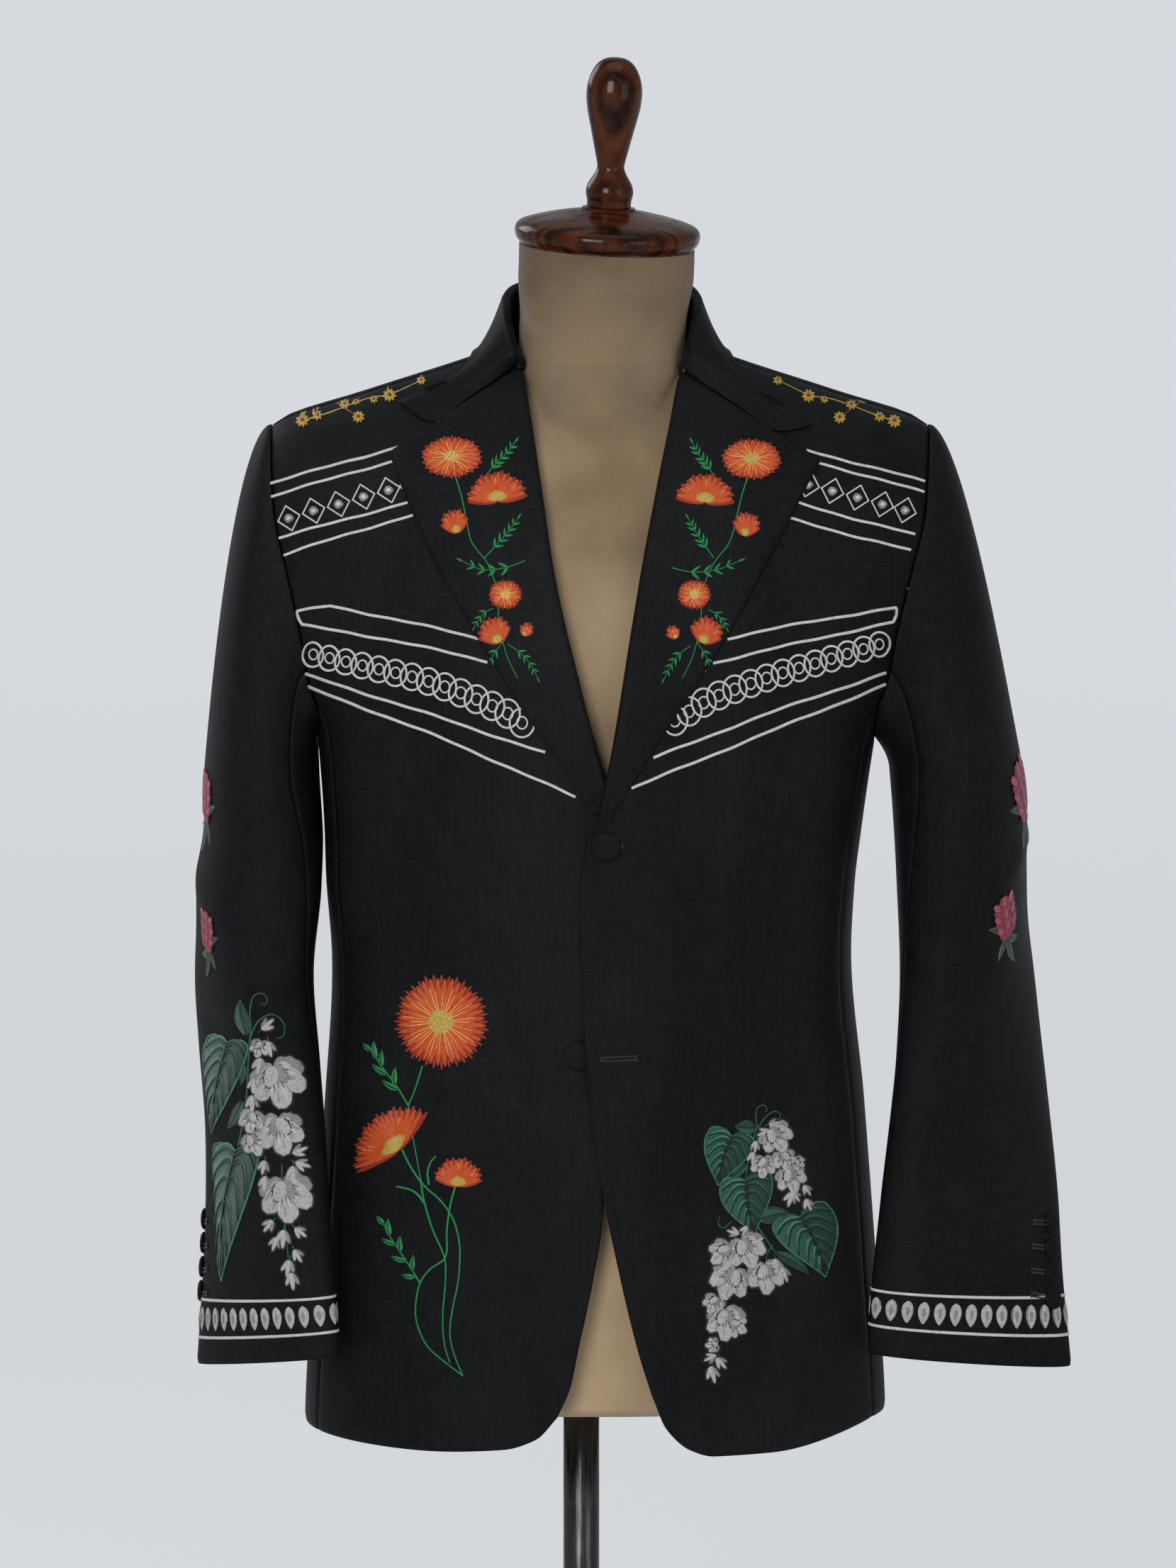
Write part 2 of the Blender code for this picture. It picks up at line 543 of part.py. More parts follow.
def leaf_end(leaf, side):
    """The collar's end: along the gorge to the notch, then out to the leaf's corner."""
    gorge = (leaf.gorge_out, leaf.gorge_height)
    notch = (leaf.notch_out, leaf.notch_height)
    tip = (leaf.tip_out, leaf.tip_height)
    along = [(0.0, LAPEL_FOLD), (0.25, 0.0040), (0.62, 0.0032), (1.0, LAPEL_EDGE + 0.0004)]
    flat = []
    for share, lift in along:
        place = [g + (n - g) * share for g, n in zip(gorge, notch)]
        flat.append(moved_out(skin(*place, side), lift))
    flat.append(moved_out(skin(*tip, side), LAPEL_EDGE))
    turned = []
    for step, lift in ((-0.0012, -0.0035), (-0.0020, -0.0025), (-0.0030, -0.0010), (-0.0032, 0.0012),
                       (-0.0020, 0.0034)):
        turned.append(moved_out(skin(gorge[0] + step, gorge[1], side), lift))
    return np.array(turned + flat)


def smooth_rows(control, between):
    """More rows along a grid, on a smooth curve through the given ones."""
    last = len(control) - 1
    at = np.linspace(0, last, last * between + 1)
    k = np.minimum(at.astype(int), last - 1)
    t = (at - k)[:, None, None]
    before = control[np.maximum(k - 1, 0)]
    start, end = control[k], control[k + 1]
    after = control[np.minimum(k + 2, last)]
    cubic = 3 * (start - end) + after - before
    square = 2 * before - 5 * start + 4 * end - after
    return start + 0.5 * t * ((end - before) + t * (square + t * cubic))


def sleeve_ring(rows, side, height, turn):
    """Points of the sleeve below its cap, at heights and turns round the arm."""
    centre = 0.0125
    value = {name: column(rows, "height", name, height) for name in Ring._fields[1:]}
    angle = np.radians(value["turn"])
    around = np.radians(turn)
    long_x, long_y = -np.cos(angle) * side, -np.sin(angle)
    short_x, short_y = np.sin(angle) * side, -np.cos(angle)
    swell = sleeve_folds(height, turn)
    long_size = (value["long"] + swell) * np.sin(around)
    short_size = (value["short"] + swell) * np.cos(around)
    x = side * value["out"] + long_size * long_x + short_size * short_x
    y = value["y"] + long_size * long_y + short_size * short_y
    x = x + centre * smoothstep(1.30, 1.40, height)
    return np.stack([x, y, np.broadcast_to(height, x.shape)], axis=-1)


def sleeve_folds(height, turn):
    """How far the sleeve's soft folds stand out."""
    swell = 0.0
    for fold in SLEEVE_FOLDS:
        away = (turn - fold.turn + 180) % 360 - 180
        along = (height - fold.height) / fold.length
        swell = swell + fold.depth * np.exp(-(along**2) - (away / fold.width) ** 2)
    return swell


def sleeve_grid(rows, side):
    """The whole sleeve as a grid: rows from the armhole down, columns round the arm."""
    turns = np.arange(0, 361, ARMHOLE_STEP)
    seam = np.array([armhole_point(turn % 360, side) for turn in turns])
    seam[:, 0] += side * 0.0006
    foot = sleeve_ring(rows, side, np.full(turns.shape, CAP_FOOT), turns)
    above = sleeve_ring(rows, side, np.full(turns.shape, CAP_FOOT + 0.01), turns)
    tall = (seam[:, 2] - CAP_FOOT)[:, None]
    up = (above - foot) / 0.01
    top = np.cos(np.radians(turns / 2))[:, None] ** 2
    top = np.maximum(top, np.cos(np.radians((360 - turns) / 2))[:, None] ** 2)
    lead = np.array([side * 1.0, 0, -0.12]) * (0.001 + 0.018 * top)
    handle_high, handle_low = seam + lead, foot + up * tall * 0.50
    grid = []
    for t in (0.0, 0.06, 0.17, 0.33, 0.52, 0.76, 1.0):
        point = seam * (1 - t) ** 3 + 3 * handle_high * t * (1 - t) ** 2
        point = point + 3 * handle_low * t * t * (1 - t) + foot * t**3
        grid.append(point)
    for height in np.linspace(CAP_FOOT, CUFF, 13)[1:]:
        grid.append(sleeve_ring(rows, side, np.full(turns.shape, height), turns))
    return turns, np.array(grid)


def ring_normals(grid):
    """Unit normals of a grid that closes round, out of the sleeve."""
    along = np.gradient(grid, axis=0)
    loop = np.concatenate([grid[:, -2:-1], grid, grid[:, 1:2]], axis=1)
    across = (loop[:, 2:] - loop[:, :-2]) / 2
    normal = np.cross(along, across)
    return normal / np.linalg.norm(normal, axis=-1, keepdims=True)


def sleeve(side, rows, prefix):
    """The top sleeve and the under sleeve, parted at the front seam and the hind seam."""
    turns, grid = sleeve_grid(rows, side)
    normal = ring_normals(grid) * side
    middle = grid.mean(axis=1, keepdims=True)
    if ((grid - middle) * normal).sum() < 0:
        normal = -normal
    inner = grid - normal * SLEEVE_WALL
    first = int(FRONT_SEAM_TURN / ARMHOLE_STEP)
    hind = int(HIND_SEAM_TURN / ARMHOLE_STEP)
    upper = list(range(hind, len(turns) - 1)) + list(range(0, first + 1))
    lower = list(range(first, hind + 1))
    for name, columns in (("top_sleeve", upper), ("under_sleeve", lower)):
        outside, inside = grid[:, columns].copy(), inner[:, columns].copy()
        for sheet in (outside, inside):
            for end, step in ((0, 1), (-1, -1)):
                way = sheet[:, end + step] - sheet[:, end]
                length = np.linalg.norm(way, axis=-1, keepdims=True)
                sheet[:, end] += way / length * GAP * 0.6
        wall(f"{prefix}_{name}", outside, inside, WOOL)


def turned(name, profile, steps, finish, place=Matrix.Identity(4)):
    """A turned solid: its profile runs down the outer side from top to bottom."""
    mesh = bpy.data.meshes.new(name)
    points = [(r, 0.0, z) for r, z in profile]
    mesh.from_pydata(points, [(i, i + 1) for i in range(len(points) - 1)], [])
    mesh.materials.append(material(name, finish))
    made = bpy.data.objects.new(name, mesh)
    PARTS.objects.link(made)
    screw = made.modifiers.new("turn", "SCREW")
    screw.steps = screw.render_steps = steps
    screw.use_merge_vertices = True
    screw.merge_threshold = 0.00001
    screw.use_smooth_shade = True
    made.matrix_world = place
    return made


def button(name, point, normal, radius, height):
    """A cloth-covered button: a low dome on a flat back, its back just off the cloth."""
    profile = [
        (0, height), (radius * 0.55, height * 0.90), (radius * 0.90, height * 0.55),
        (radius, height * 0.22), (radius * 0.88, 0), (0, 0),
    ]
    turn = Vector(normal).to_track_quat("Z", "Y").to_matrix().to_4x4()
    place = Matrix.Translation(Vector(point) + Vector(normal) * GAP) @ turn
    return turned(name, profile, BUTTON_STEPS, WOOL, place)


def front_buttons():
    """The upper button on the closed fronts, and the lower one on the right forepart."""
    out, height = UPPER_BUTTON
    lift = float(left_lift(np.array(out), np.array(height)))
    point = moved_out(skin(out, height, 1), lift)
    normal = outward(point)
    button("front_button_upper", point, normal, BUTTON_RADIUS, BUTTON_HEIGHT)
    out, height = LOWER_BUTTON
    point = skin(out, height, -1)
    button("front_button_lower", point, outward(point), BUTTON_RADIUS, BUTTON_HEIGHT)


def cuff_buttons(side, rows, prefix):
    """Four kissing buttons up the cuff, beside the hind seam."""
    turn = CUFF_BUTTON_TURNS[prefix]
    for number, height in enumerate(CUFF_BUTTON_HEIGHTS, 1):
        here = sleeve_ring(rows, side, np.array(height), np.array(turn))
        higher = sleeve_ring(rows, side, np.array(height + 0.002), np.array(turn))
        round_it = sleeve_ring(rows, side, np.array(height), np.array(turn + 2))
        normal = np.cross(higher - here, round_it - here)
        normal = normal / np.linalg.norm(normal)
        axis = np.array([side * column(rows, "height", "out", height), here[1] * 0, height])
        axis[1] = column(rows, "height", "y", height)
        if np.dot(normal, here - axis) < 0:
            normal = -normal
        name = f"{prefix}_cuff_button_{number}"
        button(name, here - normal * CUFF_BUTTON_SINK, normal, CUFF_BUTTON_RADIUS, CUFF_BUTTON_HEIGHT)


def oval_radius(rows, height, angle):
    """Distance from the centre line to the form's section, at an angle round it."""
    half = column(rows, "height", "half", height)
    depth = np.where(np.sin(angle) > 0, column(rows, "height", "back", height),
                     column(rows, "height", "front", height))
    part = np.abs(np.cos(angle) / half) ** ROUNDNESS + np.abs(np.sin(angle) / depth) ** ROUNDNESS
    return part ** (-1 / ROUNDNESS)


def form_torso():
    """The padded form: oval sections up to the shoulders, eased into a round neck."""
    heights = [0.7305, 0.7330, 0.7400, 0.80, 0.87, 0.94, 1.00, 1.06, 1.12, 1.18, 1.23, 1.28, 1.33, 1.365,
               1.386, 1.3955, 1.4025, 1.4105, 1.4180, 1.4250, 1.4310, 1.4370, 1.4450, 1.4650, 1.4800,
               1.4950, NECK_TOP]
    angles = np.radians(np.arange(0, 360, 10))
    rings = []
    for height in heights:
        torso = oval_radius(FORM, min(height, FORM[-1].height), angles)
        torso = torso * (1 - 0.9 * smoothstep(1.44, 1.45, height))
        shrink = 0.010 * (1 - min(height - FORM_BOTTOM, 0.008) / 0.008) ** 2
        round_it = NECK_BASE_RADIUS + (NECK_RADIUS - NECK_BASE_RADIUS) * smoothstep(1.465, 1.495, height)
        neck = NECK_SHIFT * np.sin(angles) + np.sqrt(round_it**2 - (NECK_SHIFT * np.cos(angles)) ** 2)
        neck = neck * smoothstep(1.30, 1.36, height)
        radius = (torso**NECK_BLEND + neck**NECK_BLEND) ** (1 / NECK_BLEND) - shrink
        centre = float(column(FORM, "height", "centre", height))
        centre += (CAP_CENTRE - centre) * float(smoothstep(1.44, NECK_TOP, height))
        x = centre + radius * np.cos(angles)
        tilt = math.tan(CAP_TILT) * float(smoothstep(1.45, NECK_TOP, height))
        z = height - tilt * (x - centre)
        rings.append(np.stack([x, radius * np.sin(angles), z], axis=-1))
    points = np.array(rings).reshape(-1, 3)
    count = len(angles)
    faces = []
    for row in range(len(heights) - 1):
        for k in range(count):
            after = (k + 1) % count
            faces.append([row * count + k, row * count + after,
                          (row + 1) * count + after, (row + 1) * count + k])
    faces.append(list(range(count))[::-1])
    faces.append([(len(heights) - 1) * count + k for k in range(count)])
    return new_object("form_torso", points, faces, COVER)


def cap_and_finial():
    """The turned wooden disc on the neck and the finial on it, both on the neck's tilt."""
    place = Matrix.Translation((CAP_CENTRE, NECK_SHIFT, NECK_TOP + GAP)) @ Matrix.Rotation(CAP_TILT, 4, "Y")
    disc = [
        (0, CAP_HEIGHT), (0.0175, CAP_HEIGHT), (0.0190, 0.0246), (0.030, 0.0226), (0.044, 0.0196),
        (0.0560, 0.0162), (0.0608, 0.0135), (CAP_RADIUS, 0.0095), (0.0616, 0.0045),
        (0.0585, 0.0010), (0.0560, 0), (0, 0),
    ]
    turned("neck_cap", disc, CAP_STEPS, WOOD, place)
    top = Matrix.Translation((0, 0, CAP_HEIGHT + GAP))
    knob = [
        (0, 0.1010), (0.0070, 0.1000), (0.0130, 0.0955), (0.0172, 0.0870), (0.01885, 0.0770),
        (0.0178, 0.0660), (0.0150, 0.0540), (0.0118, 0.0400), (0.0095, 0.0300), (0.0093, 0.0260),
        (0.0112, 0.0215), (0.0150, 0.0150), (0.0160, 0.0095), (0.0150, 0.0045), (0.0148, 0.0010),
        (0.0138, 0), (0, 0),
    ]
    turned("finial", knob, FINIAL_STEPS, WOOD, place @ top)


def stand():
    """The pole from the form's underside down into the hub of a round base."""
    plate = [
        (0, HUB_HEIGHT), (HUB_RADIUS - 0.004, HUB_HEIGHT), (HUB_RADIUS, HUB_HEIGHT - 0.004),
        (HUB_RADIUS, 0.026), (0.040, 0.018), (0.060, BASE_THICKNESS),
        (BASE_RADIUS - 0.005, BASE_THICKNESS - 0.003), (BASE_RADIUS, 0.005), (BASE_RADIUS, 0), (0, 0),
    ]
    turned("base", plate, BASE_STEPS, METAL)
    bottom = HUB_HEIGHT + GAP
    top = FORM_BOTTOM - GAP
    turned("pole", [(0, top), (POLE_RADIUS, top), (POLE_RADIUS, bottom), (0, bottom)], POLE_STEPS, METAL)


def material(name, finish):
    """The sub-part's own Principled material."""
    made = bpy.data.materials.new(name)
    made.use_nodes = True
    shader = made.node_tree.nodes["Principled BSDF"]
    shader.inputs["Base Color"].default_value = (*finish.colour, 1.0)
    shader.inputs["Roughness"].default_value = finish.roughness
    shader.inputs["Metallic"].default_value = finish.metallic
    return made


def clear_scene():
    """An empty scene with one collection for the parts."""
    for old in list(bpy.data.objects):
        bpy.data.objects.remove(old)
    made = bpy.data.collections.new("embroidered_suit_jacket")
    bpy.context.scene.collection.children.link(made)
    return made


def main():
    """The jacket, then the form that it rests on."""
    forepart("left_front", 1, LEFT_EDGE, LEFT_HEM, LEFT_ROLL)
    forepart("right_front", -1, RIGHT_EDGE, RIGHT_HEM, RIGHT_ROLL)
    lapel("left_lapel", 1, LEFT_LAPEL, LEFT_ROLL)
    lapel("right_lapel", -1, RIGHT_LAPEL, RIGHT_ROLL)
    collar()
    for side, rows, prefix in ((1, LEFT_SLEEVE, "left"), (-1, RIGHT_SLEEVE, "right")):
        side_body(f"{prefix}_side_body", side)
        back_panel(f"back_{prefix}", side)
        sleeve(side, rows, prefix)
        cuff_buttons(side, rows, prefix)
    front_buttons()
    form_torso()
    cap_and_finial()
    stand()


PARTS = clear_scene()
main()
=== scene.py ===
"""Looks of an embroidered suit jacket on a limbless dress form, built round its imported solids.

Units are metres and +Z is up. The jacket faces -Y and the wearer's left is at +X. Each cloth
piece is a thin shell on its solid's own formula with finer rows, soft creases and a lining. The
embroidery is drawn in pixels of the front view, or unrolled for what goes round a sleeve, and each
stitch row is then laid on the cloth under it and raised by the height of its thread.
"""

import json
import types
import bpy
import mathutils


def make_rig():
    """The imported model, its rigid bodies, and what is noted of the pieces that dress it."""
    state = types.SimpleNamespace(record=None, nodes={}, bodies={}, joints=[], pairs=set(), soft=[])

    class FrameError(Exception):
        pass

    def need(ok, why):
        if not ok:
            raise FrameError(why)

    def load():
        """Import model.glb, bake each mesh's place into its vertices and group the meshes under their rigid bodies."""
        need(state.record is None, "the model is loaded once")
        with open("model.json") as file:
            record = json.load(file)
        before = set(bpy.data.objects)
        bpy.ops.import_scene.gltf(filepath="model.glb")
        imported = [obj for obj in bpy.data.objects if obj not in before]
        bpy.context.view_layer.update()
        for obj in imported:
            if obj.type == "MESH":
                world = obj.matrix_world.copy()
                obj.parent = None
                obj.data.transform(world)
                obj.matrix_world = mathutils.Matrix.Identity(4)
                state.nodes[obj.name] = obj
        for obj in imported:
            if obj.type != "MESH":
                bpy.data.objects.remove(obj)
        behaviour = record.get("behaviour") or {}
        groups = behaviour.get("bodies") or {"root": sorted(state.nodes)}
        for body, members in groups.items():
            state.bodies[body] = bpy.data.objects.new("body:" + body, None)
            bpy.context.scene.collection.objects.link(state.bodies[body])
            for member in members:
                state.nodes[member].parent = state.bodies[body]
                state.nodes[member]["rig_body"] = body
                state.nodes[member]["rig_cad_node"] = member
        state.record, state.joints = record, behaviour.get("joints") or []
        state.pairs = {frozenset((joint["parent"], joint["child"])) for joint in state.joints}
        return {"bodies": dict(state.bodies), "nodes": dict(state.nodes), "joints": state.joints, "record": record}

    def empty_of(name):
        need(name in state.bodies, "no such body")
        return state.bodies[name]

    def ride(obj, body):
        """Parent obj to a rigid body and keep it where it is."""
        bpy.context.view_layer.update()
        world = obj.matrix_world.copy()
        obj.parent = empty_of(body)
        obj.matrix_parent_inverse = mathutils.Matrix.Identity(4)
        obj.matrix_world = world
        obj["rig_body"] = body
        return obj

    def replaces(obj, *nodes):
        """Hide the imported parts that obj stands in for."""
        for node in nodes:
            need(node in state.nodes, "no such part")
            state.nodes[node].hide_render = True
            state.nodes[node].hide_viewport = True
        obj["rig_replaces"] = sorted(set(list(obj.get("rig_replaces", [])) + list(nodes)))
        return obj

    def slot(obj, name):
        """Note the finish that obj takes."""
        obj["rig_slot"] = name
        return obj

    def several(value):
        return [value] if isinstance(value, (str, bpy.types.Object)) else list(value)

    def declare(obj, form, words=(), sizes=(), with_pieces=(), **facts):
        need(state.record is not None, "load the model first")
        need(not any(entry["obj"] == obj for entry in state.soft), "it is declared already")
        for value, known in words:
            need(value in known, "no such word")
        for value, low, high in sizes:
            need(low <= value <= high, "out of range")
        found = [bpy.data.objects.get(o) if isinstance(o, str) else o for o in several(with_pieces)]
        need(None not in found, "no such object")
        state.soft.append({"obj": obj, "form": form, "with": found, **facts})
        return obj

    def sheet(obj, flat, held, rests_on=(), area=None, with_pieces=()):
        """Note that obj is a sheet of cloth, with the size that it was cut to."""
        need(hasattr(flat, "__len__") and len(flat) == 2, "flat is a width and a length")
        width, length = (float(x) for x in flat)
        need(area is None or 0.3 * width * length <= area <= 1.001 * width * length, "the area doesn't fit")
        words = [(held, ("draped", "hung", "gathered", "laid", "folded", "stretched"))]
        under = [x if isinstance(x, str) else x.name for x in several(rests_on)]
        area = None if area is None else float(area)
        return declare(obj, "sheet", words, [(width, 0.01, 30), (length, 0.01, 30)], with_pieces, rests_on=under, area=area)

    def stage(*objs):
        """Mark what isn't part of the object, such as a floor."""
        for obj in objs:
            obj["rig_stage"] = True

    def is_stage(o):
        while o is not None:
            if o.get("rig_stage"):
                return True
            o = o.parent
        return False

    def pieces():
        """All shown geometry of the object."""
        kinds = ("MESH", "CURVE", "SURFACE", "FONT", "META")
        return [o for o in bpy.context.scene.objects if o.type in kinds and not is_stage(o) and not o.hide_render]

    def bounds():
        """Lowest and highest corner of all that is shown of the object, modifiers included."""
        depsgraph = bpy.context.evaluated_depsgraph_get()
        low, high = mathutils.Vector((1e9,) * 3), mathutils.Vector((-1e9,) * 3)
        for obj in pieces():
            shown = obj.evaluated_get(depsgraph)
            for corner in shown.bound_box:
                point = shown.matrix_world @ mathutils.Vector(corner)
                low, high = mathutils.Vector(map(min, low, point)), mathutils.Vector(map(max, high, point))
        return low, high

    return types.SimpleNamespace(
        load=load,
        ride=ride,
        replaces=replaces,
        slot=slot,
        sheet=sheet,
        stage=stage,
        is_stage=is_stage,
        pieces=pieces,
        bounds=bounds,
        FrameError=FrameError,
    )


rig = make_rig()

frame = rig.load()
CAD_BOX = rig.bounds()

import json
import logging
import math
from abc import ABC, abstractmethod
from dataclasses import dataclass
from enum import Enum

import bpy
import numpy as np
from mathutils import Matrix, Vector

LOG = logging.getLogger("scene")
Array = np.ndarray

ROOT = "root"
SIZE_FILE = "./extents.json"
IMAGE_SIZE = (1659, 2212)
PIXEL = 0.00048
PICTURE_CENTRE = 820.0
PICTURE_TOP = 1.6628
ELEVATION = math.radians(9.5)

# Cloth: its walls, the gap at seams, the left front's lap, and the step for slopes.
WALL = 0.002
SLEEVE_WALL = 0.0016
FOLD_WALL = 0.0018
GAP = 0.0003
LAP = 0.0029
STEP = 0.0004
# Body: the ovals' exponent, heights, the seams as shares of the half width and as turns round the arm.
ROUNDNESS = 2.3
BREAK_HEIGHT = 1.139
NECK_POINT = 1.4400
HEM_BLEND = 0.150
BACK_HEM = 0.709
BODY_TOP = 1.39
ARMHOLE_LOW = 1.178
ARMHOLE_HIGH = 1.393
SIDE_SEAM = 0.9515
BACK_SEAM = 0.900
SIDE_TURN = 135
BACK_TURN = 225
# Lapels and collar: heights above the skin at roll and edge, the stand's foot and the fold's width.
LAPEL_FOLD = 0.0043
LAPEL_EDGE = WALL + GAP
STAND_FOOT = 1.4465
FOLD_WIDTH = 0.0062
# Sleeves: heights, and the turns at which the two parts meet.
CAP_FOOT = 1.160
CUFF = 0.754
SLANT_TOP = 0.950
FRONT_PART, REAR_PART = 120, 270
# Buttons: distances out with heights, then heights and turns on the cuffs.
UPPER_BUTTON = (0.0083, 1.1270)
LOWER_BUTTON = (0.0095, 0.9830)
CUFF_BUTTON_HEIGHTS = (0.7990, 0.8148, 0.8306, 0.8464)
CUFF_BUTTON_TURNS = {"left": -54, "right": -68}


class Side(Enum):
    """A side of the wearer: its sign along X and its prefix in piece names."""

    LEFT = 1
    RIGHT = -1

    @property
    def prefix(self) -> str:
        """The word that piece names start with."""
        return self.name.lower()


def rows_of(given: str | Array | list[Array], columns: int) -> Array:
    """Rows of so many numbers each, from a text of numbers or from arrays."""
    return np.array(given.split() if isinstance(given, str) else given, float).reshape(-1, columns)


class Table:
    """Rows of numbers under named columns, read as smooth curves with no overshoot."""

    def __init__(self, columns: str, rows: str | Array) -> None:
        """Keeps the rows."""
        self.columns = columns.split()
        self.rows = rows_of(rows, len(self.columns))

    def read(self, key: str, name: str, at: Array) -> Array:
        """Value of one column where another one has these values.

        Args:
            key: the column that grows from row to row.
            name: the column to read.
            at: values of the key.

        Returns:
            Cubic pieces through the rows, level where the column turns.
        """
        x, y = (self.rows[:, self.columns.index(word)] for word in (key, name))
        step = np.diff(x)
        slope = np.diff(y) / step
        total = slope[1:] + slope[:-1]
        inner = np.where(slope[1:] * slope[:-1] > 0, 2 * slope[1:] * slope[:-1], 0.0)
        inner = inner / np.where(total == 0, 1.0, total)
        tangent = np.concatenate([slope[:1], inner, slope[-1:]])
        at = np.clip(np.asarray(at, float), x[0], x[-1])
        k = np.clip(np.searchsorted(x, at, side="right") - 1, 0, len(x) - 2)
        t = (at - x[k]) / step[k]
        rise = y[k] * (1 + 2 * t) * (1 - t) ** 2 + y[k + 1] * t * t * (3 - 2 * t)
        return rise + step[k] * (tangent[k] * t * (1 - t) ** 2 + tangent[k + 1] * t * t * (t - 1))

    def last(self, name: str) -> float:
        """Value in the last row."""
        return float(self.rows[-1, self.columns.index(name)])


def unit(vectors: Array) -> Array:
    """The vectors at length 1."""
    return vectors / np.maximum(np.linalg.norm(vectors, axis=-1, keepdims=True), 1e-12)


def eased(low: float, high: float, value: Array) -> Array:
    """A smooth step."""
    t = np.clip((value - low) / (high - low), 0.0, 1.0)
    return t * t * (3 - 2 * t)


JACKET = Table("height centre half front back", """
    .69 .0096 .199 .127 .122  .732 .0095 .1975 .126 .12  .82 .0094 .1915 .124 .113
    .93 .009 .1835 .121 .101  1.03 .007 .1762 .119 .093  1.08 .0063 .179 .121 .098
    1.12 .008 .182 .123 .105  1.16 .0095 .186 .123 .112  1.192 .0105 .1905 .122 .116
    1.222 .011 .206 .119 .117  1.26 .0115 .221 .113 .117  1.3 .012 .233 .104 .114
    1.34 .0124 .238 .092 .109  1.37 .0125 .233 .079 .103  1.393 .0128 .221 .063 .095
    1.4138 .013 .162 .047 .087  1.4333 .0135 .101 .028 .076  1.4425 .0138 .075 .014 .068
""")
FORM = Table("height centre half front back", """
    .7305 .008 .172 .106 .104  .82 .008 .17 .105 .1  .93 .0075 .158 .102 .086  1.03 .007 .149 .1 .079
    1.12 .008 .158 .105 .092  1.19 .01 .171 .107 .102  1.26 .0113 .187 .1 .104  1.3 .0118 .195 .092 .101
    1.34 .0122 .201 .08 .096  1.37 .0125 .204 .067 .09  1.386 .0127 .203 .056 .084
    1.3955 .0128 .197 .046 .079  1.4025 .0129 .185 .041 .075  1.4105 .013 .16 .036 .071
    1.43 .0135 .1 .018 .06  1.44 .014 .055 .008 .045
""")
LEFT_EDGE = Table("height out", """
    .7517 .038  .7824 .0285  .84 .015  .899 .0038  .977 -.0047  1.028 -.006  1.09 -.007  1.115 -.007
    1.139 .003
""")
RIGHT_EDGE = Table("height out", """
    .736 .0258  .757 .0167  .782 .0115  .83 .0014  .877 -.0057  .93 -.007  .98 -.0075  1.06 -.0165
    1.139 -.02
""")
LEFT_ROLL = Table("height out", """
    1.139 .003  1.172 .0094  1.283 .0265  1.317 .032  1.3705 .0423  1.405 .0497  1.43 .0548  1.4425 .0605
""")
RIGHT_ROLL = Table("height out", """
    1.139 -.02  1.172 -.004  1.24 .016  1.3077 .0327  1.3705 .043  1.4102 .0502  1.433 .0555  1.4425 .0605
""")
FRONT_ARMHOLE = Table("height out", """
    1.225 .1945  1.26 .2005  1.3 .2095  1.34 .2185  1.37 .2205  1.393 .221
""")
BACK_ARMHOLE = Table("height out", """
    1.225 .1855  1.25 .1915  1.28 .1985  1.32 .207  1.36 .215  1.393 .221
""")
LEFT_HEM = Table("out height", """
    .038 .7517  .048 .728  .0645 .713  .0805 .7083  .1195 .7085  .188 .72
""")
RIGHT_HEM = Table("out height", """
    .0258 .736  .04 .721  .0623 .7135  .1205 .71  .188 .711
""")
LEFT_LAPEL = Table("roll_height edge_out edge_height", """
    1.145 .0085 1.141  1.164 .018 1.16  1.184 .029 1.178  1.23 .052 1.2134  1.29 .085 1.264
    1.355 .117 1.322  1.4 .138 1.361  1.43 .1475 1.3773
""")
RIGHT_LAPEL = Table("roll_height edge_out edge_height", """
    1.151 0 1.147  1.17 .012 1.164  1.192 .025 1.183  1.238 .054 1.223  1.298 .089 1.278  1.358 .116 1.325
    1.405 .134 1.365  1.433 .141 1.3822
""")
COLLAR_LEFT = Table("fold_out fold_y fold_height edge_out edge_height", """
    .06 -.031 1.448 .125 1.408  .0645 -.018 1.462 .106 1.418  .0665 -.006 1.47 .095 1.428
    .067 .007 1.4745 .0875 1.4378
""")
COLLAR_RIGHT = Table("fold_out fold_y fold_height edge_out edge_height", """
    .06 -.031 1.448 .12 1.417  .0645 -.018 1.462 .104 1.424  .0665 -.006 1.47 .094 1.43
    .067 .007 1.4745 .0875 1.4378
""")
COLLAR_BACK = Table("fold_out fold_y fold_height edge_out edge_height", """
    .0665 .024 1.478 .083 1.435  .058 .047 1.483 .062 1.432  .031 .065 1.486 .032 1.431
    0 .0705 1.487 0 1.4305
""")
RIGHT_SLEEVE = Table("height out y long short turn", """
    .754 .211 -.062 .071 .02 47  .84 .212 -.044 .069 .025 55  .907 .214 -.028 .068 .029 60
    .966 .2186 -.014 .068 .033 64  1.024 .2225 -.004 .069 .0365 70  1.08 .2188 .002 .07 .0408 76
    1.12 .2153 .004 .0705 .0395 82  1.16 .2162 .006 .071 .0387 88  1.2 .2135 .008 .069 .036 90
""")
LEFT_SLEEVE = Table("height out y long short turn", """
    .754 .263 -.052 .0715 .02 12  .81 .262 -.037 .07 .023 21  .868 .2635 -.018 .069 .026 30
    .93 .2638 -.008 .068 .03 42  1.005 .2625 0 .067 .036 57  1.08 .2585 .004 .067 .042 72
    1.16 .2535 .006 .068 .045 86  1.2 .244 .008 .067 .043 90
""")
SLEEVE_FOLDS = Table("height turn length width depth", """
    1.1 20 .05 26 .0022  1.045 -25 .035 30 -.002  1.01 60 .04 24 .002  .93 5 .07 22 -.0018
    1.23 -35 .05 24 .0018  1.24 55 .045 22 -.0018
""")


